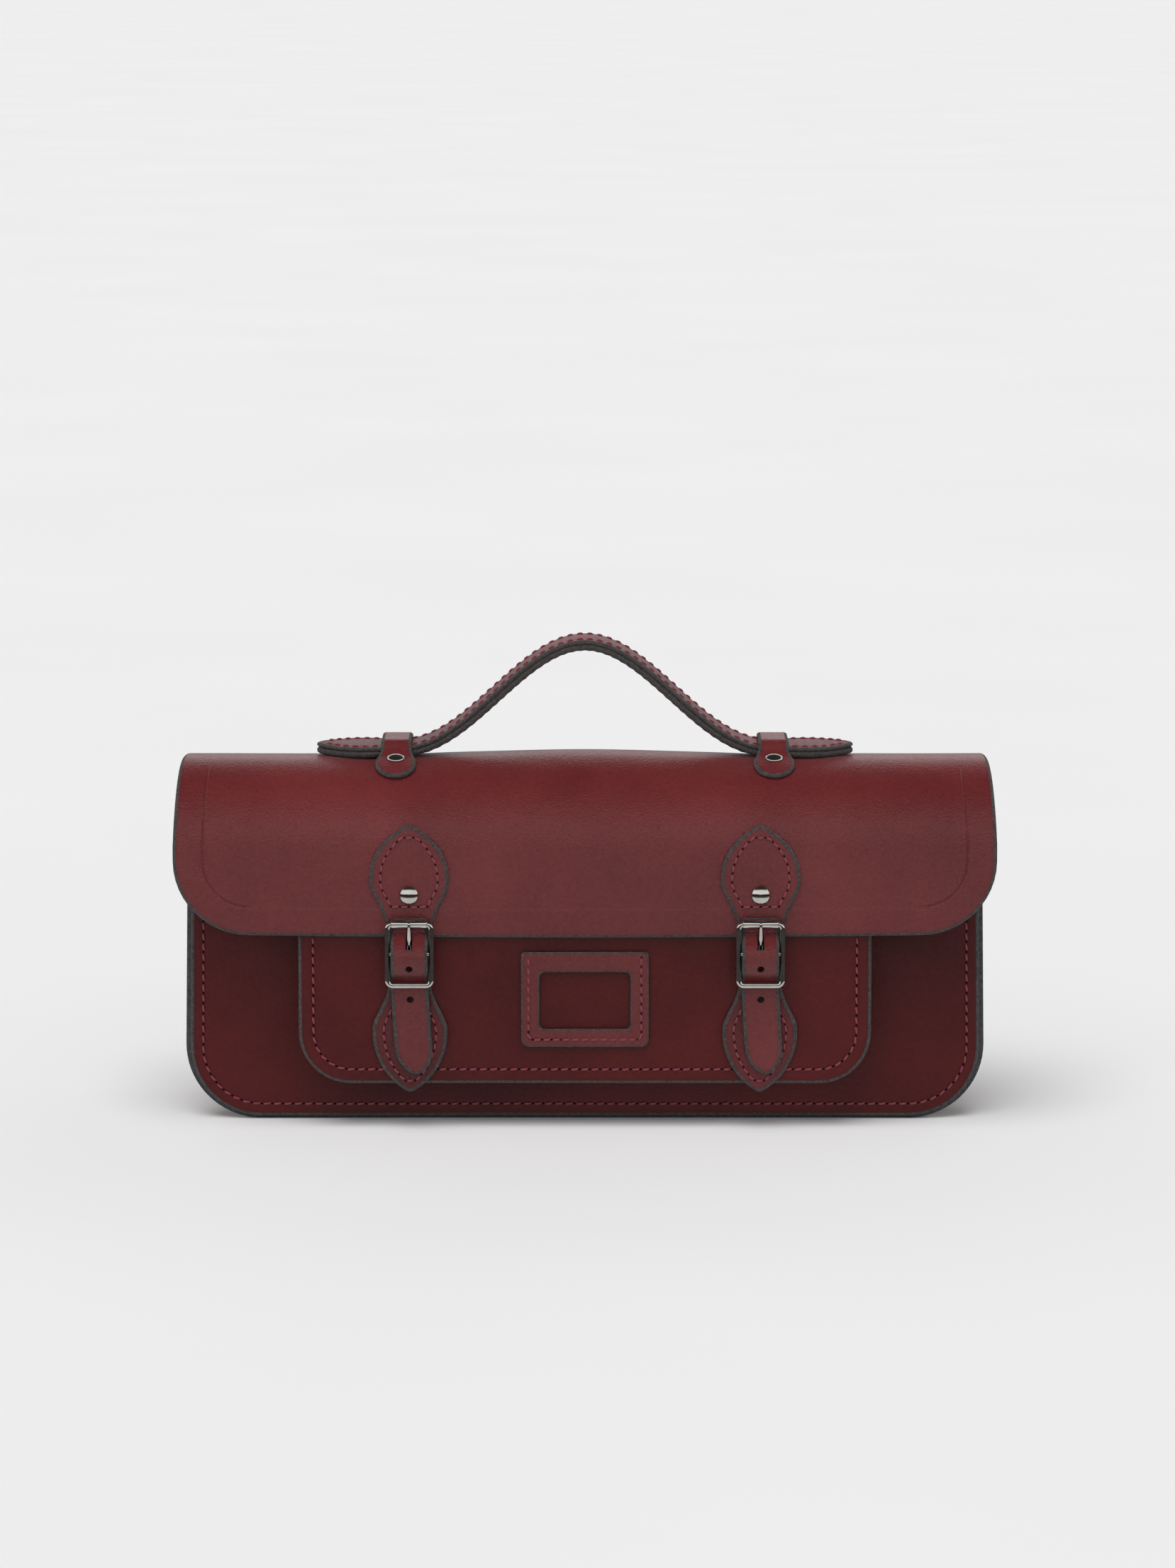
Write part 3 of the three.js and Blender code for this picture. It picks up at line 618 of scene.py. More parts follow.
def hide_relief(x, s):
    """The creased line on the flap and the seam's groove on the back."""
    inside = edge_distance(x, s, FLAP_HALF, 0, HIDE_LONG, HIDE_RADII)
    bottom = np.clip(1 - np.abs(s - CREASE) / 6, 0, 1) * (np.abs(x) < FLAP_HALF - FLAP_CORNER)
    strength = (1 - 0.6 * bottom) * np.clip((92 - s) / 10, 0, 1)
    on_back = np.clip((s - 205) / 6, 0, 1)
    ridge = -groove(inside, CREASE + 1.0, 0.6, 0.2) * strength
    pressed_line = groove(inside, CREASE, 0.5, 0.62) * strength + ridge
    return pressed_line + groove(inside, PANEL_SEAM, *SEAM_SINK) * on_back


hide_cut = ringed(FLAP_HALF, 0, HIDE_LONG - PANEL_LOW, HIDE_RADII, HIDE_RINGS, 3.2)
flap = hide("flap_and_back_leather", hide_cut, lay_hide, HIDE, hide_relief)
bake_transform(flap)
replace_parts(flap, "flap", "back_panel")

# %% [markdown]
# ## The gussets
#
# A gusset is one long strip with its two edges folded out as flanges, sewn to the panels. Its
# cross-section is a closed profile of points (inset from the outer edge, y), carried round the
# U of the bag's outline: down one side, round the corner, under the base and up the other side.
# Between the flanges the wall pulls in, more at the middle of each side, as soft sides do.

# %% Carry a gusset's profile round the bag
def folded_strip(outer, inner, front, back, thick, bend):
    """A channel's closed profile (inset, y): flange, round the bend, wall, bend, flange."""
    def turn(u, y, radius, start, end):
        """Points round a bend, between two angles in degrees."""
        angle = np.radians(np.linspace(start, end, 6))
        return np.stack([u + radius * np.cos(angle), y + radius * np.sin(angle)], 1)

    small = bend - thick
    wall = np.linspace(front + bend, back - bend, 12)[1:-1]
    sag = 3.2 * np.sin(np.pi * (wall - front) / (back - front))
    line_out = [
        [[outer, front + thick]], turn(inner - bend, front + bend, small, -90, 0),
        np.stack([inner - thick + sag, wall], 1), turn(inner - bend, back - bend, small, 0, 90),
        [[outer, back - thick]],
    ]
    line_in = [
        [[outer, back]], turn(inner - bend, back - bend, bend, 90, 0),
        np.stack([inner + sag, wall], 1)[::-1], turn(inner - bend, front + bend, bend, 0, -90),
        [[outer, front]],
    ]
    proud = outer - 0.12  # the middle of the cut edge stands out a little
    lip = [[proud, back - thick / 2]], [[proud, front + thick / 2]]
    profile = np.concatenate([*line_out, lip[0], *line_in, lip[1]])
    kind = np.zeros(len(profile), int)
    first = sum(len(p) for p in line_out)
    kind[[first - 1, first, len(profile) - 2, len(profile) - 1]] = 1
    kind[first + 1 : len(profile) - 2] = 2
    return profile, kind


def carry(name, profile, kind, half, low, corner, top_at, taper):
    """The profile at each station of the U outline, its inset taken towards the bag's middle."""
    angle = np.linspace(-np.pi, -np.pi / 2, 19)
    rise = np.linspace(1, 0, 34)[:-1]
    flat = np.linspace(-1, 1, 80)[1:-1]
    u, y = profile.T
    side_x = -(half - u)
    radius = corner - u
    rows = []
    for share in rise:
        top = top_at(y)
        z = low + corner + share * (top - low - corner)
        x = side_x + taper * share
        rows.append(np.stack([x, y, z], -1))
    for a in angle:
        x, z = -(half - corner) + radius * np.cos(a), low + corner + radius * np.sin(a)
        rows.append(np.stack([x, y, z], -1))
    left = np.stack(rows)
    base = np.stack([np.stack([0 * y + f * (half - corner), y, low + u], -1) for f in flat])
    right = left[::-1] * (-1, 1, 1)
    whole = np.concatenate([left, base, right])
    grid = np.arange(whole[..., 0].size).reshape(whole.shape[:2])
    made = make_mesh(
        name, whole.reshape(-1, 3), quads(wrapped(grid)), ON_BODY,
        np.tile(kind, len(whole) - 1), np.full(grid.size, 5.0),
    )
    fill_ends(made, [grid[0][::-1], grid[-1]])
    print(name, "has", len(made.data.polygons), "faces")
    return made


def fill_ends(made, ends):
    """Closes the two open ends of a carried profile with one face each."""
    bm = bmesh.new()
    bm.from_mesh(made.data)
    bm.verts.ensure_lookup_table()
    for end in ends:
        bm.faces.new([bm.verts[i] for i in end]).material_index = 1
    bmesh.ops.recalc_face_normals(bm, faces=bm.faces)
    bm.to_mesh(made.data)
    bm.free()


def under_flap(y):
    """How high the gusset stands at a depth y: level, then lower where the flap folds down."""
    def under(centre_z, radius, past):
        """Under an arc: its centre's height plus the other leg of a right triangle."""
        inside = radius - HIDE - 1.6
        return centre_z + np.sqrt(np.clip(inside**2 - np.clip(past, 0, None) ** 2, 0, None))

    fold, bend = under(FOLD_Z, FOLD, y - FOLD_Y), under(BEND_Z, BEND, BEND_Y - y)
    return np.minimum(np.minimum(GUSSET_TOP, fold), bend)


BODY_HALF, BODY_LOW, BODY_CORNER = 202, 0, 38
CLEAR = HIDE + 0.3  # a panel's thickness and the gap behind it
GUSSET = folded_strip(0, 12.8, FRONT_Y + CLEAR, BACK_Y - CLEAR, 2.8, 4.6)
gusset = carry("gusset_leather", *GUSSET, BODY_HALF, BODY_LOW, BODY_CORNER, under_flap, TAPER)
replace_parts(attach(gusset, "bag"), "gusset")
POUCH = folded_strip(0.6, 11.8, POCKET_Y + CLEAR, FRONT_Y - 0.5, 2.2, 4.0)
pouch = carry(
    "pocket_gusset_leather", *POUCH, POCKET_HALF, POCKET_LOW, POCKET_CORNER,
    lambda y: 0 * y + POCKET_TOP, 0,
)
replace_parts(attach(pouch, "bag"), "pocket_gusset")

# %% [markdown]
# ## Narrow pieces along a line
#
# Straps, keepers and handle are long strips. Each follows a drawn line through a few known
# points, rounded by averaging along its length, as leather rounds off a fold. A strip's `lay`
# takes s along that line and x across it, and a lift moves it out to the grain side.

# %% A rounded line through points
def rounded(points, blur):
    """The polyline at quarter-millimetre steps, averaged with a bell-shaped window."""
    p = np.asarray(points, float)
    along = run_length(p)
    reach = 3 * blur
    at = np.arange(-reach, along[-1] + reach, 0.25)
    first, last = unit(p[0] - p[1]), unit(p[-1] - p[-2])
    fine = on_path(p, along, at)
    fine += np.clip(-at, 0, None)[:, None] * first
    fine += np.clip(at - along[-1], 0, None)[:, None] * last
    window = np.exp(-((np.arange(-reach, reach + 0.25, 0.25) / blur) ** 2))
    window /= window.sum()
    smooth = np.stack([np.convolve(fine[:, k], window, "valid") for k in range(p.shape[1])], 1)
    return smooth, run_length(smooth)


def on_line(line, s, lift):
    """The point [y, z] at s along a line, moved by a lift to its left."""
    p, length = line
    h = 0.5
    place, slope = on_path(p, length, s), on_path(p, length, s + h) - on_path(p, length, s - h)
    y, z, dy, dz = place[..., 0], place[..., 1], slope[..., 0], slope[..., 1]
    size = np.maximum(np.hypot(dy, dz), 1e-9)
    over = np.clip(s - length[-1], 0, None) + np.clip(s, None, 0)
    return y - dz / size * lift + dy / size * over, z + dy / size * lift + dz / size * over


def closer_at_ends(start, end, step):
    """Stations along a strip that crowd together at its two ends, where it is cut round."""
    count = max(int((end - start) / step), 8)
    share = np.linspace(0, 1, count)
    ease = (1 - np.cos(np.pi * np.linspace(0, 1, 12))) / 2
    near = ease[ease < 0.5] * 0.16
    return start + (end - start) * np.unique(np.concatenate([near, share, 1 - near]))


# %% [markdown]
# ## The leaves
#
# The shaped patches above and below each buckle are cut with one outline: a pointed tip that
# flares to a full belly and narrows again, here two cubic curves end to end. The upper leaf
# follows the flap's bend and covers the strap's sewn end. The lower one lies on the pocket under
# the strap's tail, and is cut from pebbled hide.

# %% Leaf outlines
STRAP_X = 87.7


def cubic(a, b, c, d, steps=24):
    """A cubic curve from a to d, drawn towards b and c."""
    t = np.linspace(0, 1, steps)[:, None]
    a, b, c, d = map(np.array, (a, b, c, d))
    return (1 - t) ** 3 * a + 3 * t * (1 - t) ** 2 * b + 3 * t * t * (1 - t) * c + t**3 * d


def leaf_half(tip, widest, half, shoulder, end):
    """The leaf's half width as a function of height, from its end to its tip."""
    to = np.sign(tip - widest)
    middle = (shoulder[0] + 2, (shoulder[1] + widest) / 2)
    belly = cubic(shoulder, middle, (half, widest - to * 7), (half, widest))
    arch = (half, widest + to * 11), (half * 0.72, tip - to * 6.5)
    point = cubic((half, widest), *arch, (0.5, tip))
    edge = np.concatenate([[end], belly, point[1:]])
    edge = edge[np.argsort(edge[:, 1])]
    return lambda z: np.interp(z, edge[:, 1], edge[:, 0])


# The two outlines, each from its tip to its squared end.
UPPER_HALF = leaf_half(154.3, 129, 18.6, (12.6, 113.1), (10.6, 108.2))
LOWER_HALF = leaf_half(20.9, 50.5, 17.5, (9, 75), (8.4, 97))
RIVET_Z = 121.6


def upper_lay(side):
    """On the flap's own surface, lifted by the leaf and more where the strap is under it."""
    def lay(x, s):
        """The flap's point moved out along its normal."""
        place = x + side * STRAP_X
        on_flap = lay_hide(place, s - FLAP_LOW)
        under = 0.5 * bell(x, 0, 9) * bell(s, 117, 6) - 0.25 * np.hypot(x, s - RIVET_Z).clip(0, 1)
        fit = 2.2 + under + 0.5 * np.clip((s - 147) / 7, 0, 1) ** 2
        n = unit(normals(lay_hide, place, s - FLAP_LOW))
        return on_flap + n * (fit - 0.45 * bell(s, 106, 5))[:, None]
    return lay


def lower_lay(side):
    """On the pocket's surface, its belly curling up a little at both edges."""
    def lay(x, s):
        """The pocket's point moved forward."""
        curl = 0.9 * np.clip((np.abs(x) - 9) / 8, 0, 1) ** 2 * bell(s, 56, 14)
        out = lay_pocket(x + side * STRAP_X, s)
        return out - np.stack([0 * x, 2.3 + curl, 0 * x], -1)
    return lay


# %% Stitches
STITCH_RADIUS, STITCH_SLANT, STITCH_SHARE = 0.6, np.radians(9), 0.37
# The second number counts the points round each needle hole's disc of painted shade.
BODY_ROUND, HOLE_SHADE_ROUND = 7, 8  # points round a stitch, and round a needle hole


def around(count):
    """Even angles round a circle, shaped to spread over [stitch, ring, angle, coordinate]."""
    return np.linspace(0, 2 * np.pi, count + 1)[:-1][None, None, :, None]


def stitch_set(path, lay, pitch, sink=0.3):
    """One short capsule of thread for each pitch along a pattern path, and between them a flat dark
    disc of painted shade for each needle hole.

    A stitch lies from hole to hole: its height is a half ellipse that dives into the leather at
    both ends, its radius swells in the middle, and it is turned a little from the seam's line.
    """
    p = np.asarray(path, float)
    along = run_length(p)
    count = max(int(round(along[-1] / pitch)), 1)
    step = along[-1] / count
    number = np.arange(count)
    centre = on_path(p, along, (number + 0.5) * step)
    heading = on_path(p, along, (number + 0.8) * step) - on_path(p, along, (number + 0.2) * step)
    a, b = unit(heading).T
    c, d = np.cos(STITCH_SLANT), np.sin(STITCH_SLANT)
    heading = np.stack([a * c - b * d, a * d + b * c], 1)
    t = np.linspace(-1, 1, 7)
    flat = centre[:, None] + heading[:, None] * (t * step * STITCH_SHARE)[None, :, None]
    x, s = flat[..., 0].ravel(), flat[..., 1].ravel()
    n = normals(lay, x, s).reshape(count, len(t), 3)
    height = -sink - 0.25 + 0.75 * np.sqrt(1 - 0.98 * t**2)
    line = lay(x, s).reshape(count, len(t), 3) + n * height[None, :, None]
    side = unit(np.cross(n, np.gradient(line, axis=1)))
    size = STITCH_RADIUS * np.sqrt(1 - 0.97 * t**4)[None, :, None, None]
    turn = around(BODY_ROUND)
    body = np.cos(turn) * side[:, :, None] + np.sin(turn) * n[:, :, None]
    body = line[:, :, None] + size * body
    faces = quads(wrapped(np.arange(body[..., 0].size).reshape(body.shape[:3])))
    ply = np.arange(BODY_ROUND) / 3.5 + np.zeros((count, len(t), 1))
    uv = np.stack(np.broadcast_arrays(t[None, :, None], ply), -1)
    # The needle holes: flat, nearly black discs laid on the leather, painted shade for the depth of
    # each hole.
    hx, hs = on_path(p, along, np.arange(count + 1) * step).T
    hn = normals(lay, hx, hs)
    across = unit(np.cross(hn, [0.3, 0.2, 1.0]))[:, None, None]
    up = np.cross(hn, across[:, 0, 0])[:, None, None]
    turn = around(HOLE_SHADE_ROUND)
    rings = np.array([0.02, 0.45, 0.62])[None, :, None, None]
    level = np.array([-0.02, 0.04, 0.0])[None, :, None, None] - sink + 0.05
    hole_shades = lay(hx, hs)[:, None, None] + hn[:, None, None] * level
    hole_shades = hole_shades + rings * (np.cos(turn) * across + np.sin(turn) * up)
    mark = body[..., 0].size + np.arange(hole_shades[..., 0].size).reshape(hole_shades.shape[:3])
    discs = quads(wrapped(mark))
    points = np.concatenate([body.reshape(-1, 3), hole_shades.reshape(-1, 3)])
    uvs = np.concatenate([uv.reshape(-1, 2), np.zeros((mark.size, 2))])
    kinds = np.concatenate([np.zeros(len(faces)), np.ones(len(discs))])
    return points, np.concatenate([faces, discs]), kinds, uvs, count


def sew(name, paths, lay, pitch, sink=0.3):
    """Sews one or more paths into a piece of thread."""
    sets, base = [stitch_set(p, lay, pitch, sink) for p in paths], 0
    faces = []
    for made in sets:
        faces.append(made[1] + base)
        base += len(made[0])
    points, kinds, uvs = (np.concatenate([m[k] for m in sets]) for k in (0, 2, 3))
    thread = make_mesh(name, points, np.concatenate(faces), [THREAD, HOLE_SHADE], kinds, uv=uvs)
    print(name, "has", sum(m[4] for m in sets), "stitches")
    return thread


def seam_path(half, low, high, radii, inset, stop):
    """The part of a pattern's inset loop that goes down one side, along and up the other."""
    loop = corner_loop(half, low, high + PAST_TOP, radii, inset, 1.2)[0]
    loop = np.roll(loop, -int(np.argmax(loop[:, 1] + 1e-3 * loop[:, 0])), axis=0)
    keep = loop[loop[:, 1] < stop]
    both = np.concatenate([keep[keep[:, 0] < 0], keep[keep[:, 0] >= 0]])
    angle = np.arctan2(both[:, 0], (low + high) / 2 + 20 - both[:, 1])
    return both[np.argsort(angle)]


# %% Sew the body
panel_seam = seam_path(PANEL_HALF, PANEL_LOW, PANEL_TOP, PANEL_RADII, PANEL_SEAM, 150)
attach(sew("front_seam_thread", [panel_seam], lay_front, 5.3), "bag")
pocket_seam = seam_path(POCKET_HALF, POCKET_LOW, POCKET_TOP, POCKET_RADII, POCKET_SEAM, 130)
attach(sew("pocket_seam_thread", [pocket_seam], lay_pocket, 5.1), "bag")


def lay_back(x, s):
    """The hide's back, met from its own lower end, so that a seam is drawn as on the front."""
    return lay_hide(-x, HIDE_LONG - s)


back_seam = seam_path(FLAP_HALF, 0, 160, PANEL_RADII, PANEL_SEAM, 132)
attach(sew("back_seam_thread", [back_seam], lay_back, 5.3), "bag")

# %% Cut and sew the leaves
def ring_path(half_at, start, tip, inset):
    """Inside a leaf's edge: along one side, round the tip and back along the other."""
    z = np.linspace(start, tip, 40)
    x = np.maximum(half_at(z) - inset, 0.4)
    return np.concatenate([np.stack([x, z], 1), np.stack([-x, z], 1)[::-1]])


SIDES = [(-1, "left"), (1, "right")]
EASE = 0.4  # the pattern's edge lies this far inside the outline, for the eased edge to fill
SMALL_HIDE, SMALL_SINK = 2, 0.05
upper_cut = striped(lambda s: UPPER_HALF(s) - EASE, closer_at_ends(108.2, 154.0, 1.1), 21)
lower_cut = striped(lambda s: LOWER_HALF(s) - EASE, closer_at_ends(21.2, 97, 1.4), 21)
for side, place in SIDES:
    lay = upper_lay(side)
    leaf = hide(f"upper_leaf_{place}_leather", upper_cut, lay, SMALL_HIDE)
    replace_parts(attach(leaf, "flap"), f"upper_leaf_{place}")
    ring = ring_path(UPPER_HALF, 115.8, 149.8, 4.3)
    row = np.array([ring[0], ring[-1]])
    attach(sew(f"upper_leaf_{place}_thread", [ring, row], lay, 4.4, SMALL_SINK), "flap")

    lay = lower_lay(side)
    finishes = [PEBBLED, EDGE, FLESH]
    leaf = hide(f"lower_leaf_{place}_leather", lower_cut, lay, SMALL_HIDE, finishes=finishes)
    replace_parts(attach(leaf, "bag"), f"lower_leaf_{place}")
    ring = ring_path(LOWER_HALF, 80, 25.4, 4.4)
    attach(sew(f"lower_leaf_{place}_thread", [ring], lay, 4.6, SMALL_SINK), "bag")

# %% [markdown]
# ## The name window
#
# A flat frame, sewn to the pocket on three sides and open at its top for a card. Its mesh is a
# closed profile, from the outer edge over the face to the window's edge and back underneath,
# carried round the frame, so both cut edges are eased and neither has a seam.

# %% Window frame
WINDOW_OUT = 2.35  # how far the frame's face lies in front of the pocket's


def window_angle(loop):
    """The direction of each point from the window's middle."""
    return np.unwrap(np.arctan2(loop[:, 1] - 66.3, loop[:, 0]))


def make_window():
    """Each ring is a mix of the outer outline and the window's, at its own depth."""
    outer = corner_loop(32, 42.6, 91, (4, 2), 0, 32 / 12, 8)[0]
    hole = corner_loop(22.8, 51.7, 80.9, (2.7, 2.7), 0, 0.2, 8)[0]
    angle = window_angle(hole)
    angle = np.concatenate([angle - 2 * np.pi, angle, angle + 2 * np.pi])
    inner = on_path(np.tile(hole, (3, 1)), angle, window_angle(outer))
    face = [(0, 0.5), (0.03, 0.1), (0.08, 0), (0.3, 0), (0.5, 0), (0.7, 0), (0.92, 0), (0.97, 0.1)]
    under = [(1, 0.5), (1, 1.5), (0.97, 2), (0.5, 2), (0.03, 2), (0, 1.5)]
    rows = []
    for share, depth in face + under:
        x, s = (outer * (1 - share) + inner * share).T
        bow = 0.25 * np.sin(x / 13 + 1) * np.sin(s / 17)
        rows.append(lay_pocket(x, s) - np.stack([0 * x, WINDOW_OUT - depth + bow, 0 * x], -1))
    count = len(outer)
    grid = np.arange(len(rows) * count).reshape(len(rows), count)
    faces = quads(wrapped(np.concatenate([grid, grid[:1]])))[:, ::-1]
    kind = np.repeat([1, 1, 0, 0, 0, 0, 1, 1, 1, 1, 2, 2, 1, 1], count)
    inset = np.repeat([abs(min(m, 1 - m)) * 9.2 for m, _ in face + under], count)
    finishes = [SMOOTH, EDGE, FLESH]
    made = make_mesh("name_window_leather", np.concatenate(rows), faces, finishes, kind, inset)
    print("window frame:", len(made.data.polygons), "faces")
    return made


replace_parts(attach(make_window(), "bag"), "name_window")
HALF_SEAM = [(-28.3, 88.5), (-28.3, 48.5), (-26.3, 46.5)]
WINDOW_SEAM = HALF_SEAM + [(-x, z) for x, z in HALF_SEAM[::-1]]


def on_window(x, s):
    """The face of the frame, in front of the pocket."""
    return lay_pocket(x, s) - (0, WINDOW_OUT, 0)


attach(sew("name_window_thread", [WINDOW_SEAM], on_window, 4.7, SMALL_SINK), "bag")

# %% [markdown]
# ## The closing straps
#
# Each strap leaves the leaf, passes behind the roller, swells forward over the buckle's middle
# bar, tucks behind the foot and ends in a pointed tail that swings a little to one side. Its
# holes are really punched: rods are cut out of the finished strip, so the tongue stands in a
# slot and the two open holes show the dark leather behind.

# %% Turned and drawn solids
SIDEWAYS, FORWARD = (1, 0, 0), (0, -1, 0)


def tube_faces(rings):
    """A stack of closed rings as points and faces."""
    grid = np.arange(rings[..., 0].size).reshape(rings.shape[:2])
    return rings.reshape(-1, 3), quads(wrapped(grid))


def turned(profile, centre, axis, segments=40):
    """A profile [radius, height] spun about an axis through a point: points and faces."""
    r, h = np.asarray(profile, float).T
    axis = unit(np.asarray(axis, float))
    u = unit(np.cross(axis, [0.3, 0.5, 0.81]))
    w = np.cross(axis, u)
    angle = np.linspace(0, 2 * np.pi, segments + 1)[:-1]
    ring = np.cos(angle)[:, None] * u + np.sin(angle)[:, None] * w
    points = np.asarray(centre) + r[:, None, None] * ring + (h[:, None] * axis)[:, None]
    return tube_faces(points)


def squarish(wave, power):
    """A cosine or sine pushed towards its extremes, which turns a circle into a rounded box."""
    return np.sign(wave) * np.abs(wave) ** power


def drawn(line, wide, deep, power):
    """A rounded-box section carried along a line, its half sizes given at each point."""
    p, across = np.asarray(line, float), np.array(SIDEWAYS, float)
    up = unit(np.cross(unit(np.gradient(p, axis=0)), across))
    angle = np.linspace(0, 2 * np.pi, 17)[:-1]
    cx, cy = squarish(np.cos(angle), power), squarish(np.sin(angle), power)
    ring = p[:, None] + (np.asarray(wide)[:, None, None] * cx[:, None]) * across
    ring = ring + np.asarray(deep)[:, None, None] * cy[:, None] * up[:, None]
    first, last = (ring[k].mean(0) + 0 * ring[:1] for k in (0, -1))
    return tube_faces(np.concatenate([first, ring, last]))


def welded(name, parts, finishes):
    """Several point-and-face sets in one object, doubles merged and faces turned outwards."""
    base, faces = 0, []
    for points, made in parts:
        faces.append(made + base)
        base += len(points)
    made = make_mesh(name, np.concatenate([p for p, _ in parts]), np.concatenate(faces), finishes)
    bm = bmesh.new()
    bm.from_mesh(made.data)
    bmesh.ops.remove_doubles(bm, verts=bm.verts, dist=2e-6)
    bmesh.ops.recalc_face_normals(bm, faces=bm.faces)
    bm.to_mesh(made.data)
    bm.free()
    return made


# %% Straps with punched holes
STRAP_LINE = [
    (-70.95, 110.4), (-70.95, 105.2), (-71.9, 101.4), (-74.8, 98.1), (-78.1, 95), (-79.5, 91),
    (-78.9, 86.6), (-76.1, 82.3), (-72.4, 79.4), (-71.4, 76.2), (-71.3, 71), (-70.7, 62),
    (-70.4, 48), (-70.3, 31),
]
STRAP_PATH = rounded(STRAP_LINE[::-1], 1.2)
STRAP_LONG = STRAP_PATH[1][-1] - 2.2
STRAP_HALF, STRAP_HIDE = 7.75, 2.2
STRAP_HOLES_Z, HOLE_RADIUS = (85.5, 67.7), 1.75


def at_height(z):
    """How far along the strap's line a height is."""
    return np.interp(z, STRAP_PATH[0][:, 1], STRAP_PATH[1])


def strap_half(s):
    """Half width from the pointed tail: a blunt tip, a curved shoulder, then parallel sides."""
    return np.interp(s, [0, 0.6, 1.6, 3.4, 6, 9, 12], [0.9, 2.2, 3.6, 5.1, 6.6, 7.4, STRAP_HALF])


def strap_lay(side):
    """Along the strap's line, crowned across where it swells over the bar, creased beside it."""
    def lay(x, s):
        """The strap's line, moved out, the tail swinging to one side."""
        crown = 1.0 * (1 - (x / STRAP_HALF) ** 2) * bell(s, at_height(91), 11)
        crease = 0.12 * np.sin(s / 0.9 + np.sin(x / 2.1) * 1.4) * bell(s, at_height(85), 5)
        y, z = on_line(STRAP_PATH, s + 0 * x, 1.1 + crown + crease)
        swing = 3.0 * np.clip(1 - s / 48, 0, 1) ** 1.6
        return np.stack([x + side * STRAP_X + swing, y, z], -1)
    return lay


def punch(made, rods):
    """Cuts the rods out of a piece for good, leaving raw fibre inside the holes."""
    cutter = welded("cutter", rods, [SMOOTH, EDGE])
    slots = np.ones(len(cutter.data.polygons), np.int32)
    cutter.data.polygons.foreach_set("material_index", slots)
    cut = made.modifiers.new("holes", "BOOLEAN")
    cut.operation, cut.solver, cut.object = "DIFFERENCE", "EXACT", cutter
    graph = bpy.context.evaluated_depsgraph_get()
    made.data = bpy.data.meshes.new_from_object(made.evaluated_get(graph))
    made.modifiers.clear()
    bpy.data.objects.remove(cutter)


strap_cut = striped(strap_half, closer_at_ends(0, STRAP_LONG, 0.9), 19)
hole_rod = [(0, -9), (HOLE_RADIUS, -9), (HOLE_RADIUS, 9), (0, 9)]
for side, place in SIDES:
    lay = strap_lay(side)
    strap = hide(f"strap_{place}_leather", strap_cut, lay, STRAP_HIDE)
    rods = []
    for height in STRAP_HOLES_Z:
        middle = lay(np.zeros(1), at_height(height) + np.zeros(1))[0]
        rods.append(turned(hole_rod, middle, FORWARD, 20))
    slot_line = [(side * STRAP_X, -84, z) for z in (94.2, 98, 101.2)]
    rods.append(drawn(slot_line, [1.8] * 3, [15] * 3, 0.7))
    punch(strap, rods)
    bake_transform(strap)
    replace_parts(strap, f"strap_{place}")
    print(strap.name, "has", len(strap.data.polygons), "faces after punching")

# %% [markdown]
# ## The buckles
#
# A heel-bar roller buckle: a rounded rectangular frame, a middle bar for the strap and tongue, a
# top bar inside a free roller, and a tapered tongue. The frame is a rounded-box section carried
# round a rounded rectangle, polished and plated; the roller and the rivets are turned; the
# tongue is drawn from an eye round the middle bar to a fine tip that rests on the roller.

# %% Buckle frames, rollers and tongues
BAR_Z, ROLLER_Z, BUCKLE_Y = 91.35, 106.5, -74.6
WIRE = 1.5  # half the thickness of the frame's wire


def buckle_frame(side):
    """Rings at insets and depths round a rounded-box section, closed on themselves, and a bar."""
    angle = np.linspace(0, 2 * np.pi, 25)[:-1]
    rows = []
    for c, d in zip(squarish(np.cos(angle), 0.85), squarish(np.sin(angle), 0.85)):
        x, z = corner_loop(12.4, 73.9, 108, (4.2, 4.2), 1.52 - WIRE * c, 4, 14)[0].T
        rows.append(np.stack([x + side * STRAP_X, BUCKLE_Y + WIRE * d + 0 * x, z], -1))
    grid = np.arange(len(rows) * len(x)).reshape(len(rows), len(x))
    faces = quads(wrapped(np.concatenate([grid, grid[:1]])))
    bar = [(0, -10.6), (1.3, -10.6), (1.3, 10.6), (0, 10.6)]
    at_bar = (side * STRAP_X, BUCKLE_Y, BAR_Z)
    return [(np.concatenate(rows), faces), turned(bar, at_bar, SIDEWAYS, 24)]


def buckle_tongue(side):
    """An eye round the middle bar, and a shank that tapers up to the front of the roller."""
    centre = (side * STRAP_X, BUCKLE_Y, BAR_Z)
    eye = [(1.6, -1.1), (2.5, -1.1), (2.7, -0.8), (2.7, 0.8), (2.5, 1.1), (1.6, 1.1), (1.6, -1.1)]
    line = [(-75.6, 93.4), (-76.4, 97.5), (-77.6, 103.4), (-78.1, 107.2), (-78.1, 108.2)]
    path = rounded(line, 1)[0][::6]
    share = np.linspace(0, 1, len(path))
    wide = 1.15 - 0.55 * share**1.5
    deep = 0.85 - 0.3 * share**2
    wide[-1], deep[-1] = 0.35, 0.3
    path = np.concatenate([np.full((len(path), 1), side * STRAP_X), path], 1)
    return [turned(eye, centre, SIDEWAYS, 28), drawn(path, wide, deep, 0.9)]


tube = [(1.56, -8.9), (2.1, -8.9), (2.3, -8.6), (2.3, 0), (2.3, 8.6), (2.1, 8.9), (1.56, 8.9)]
tube.append(tube[0])
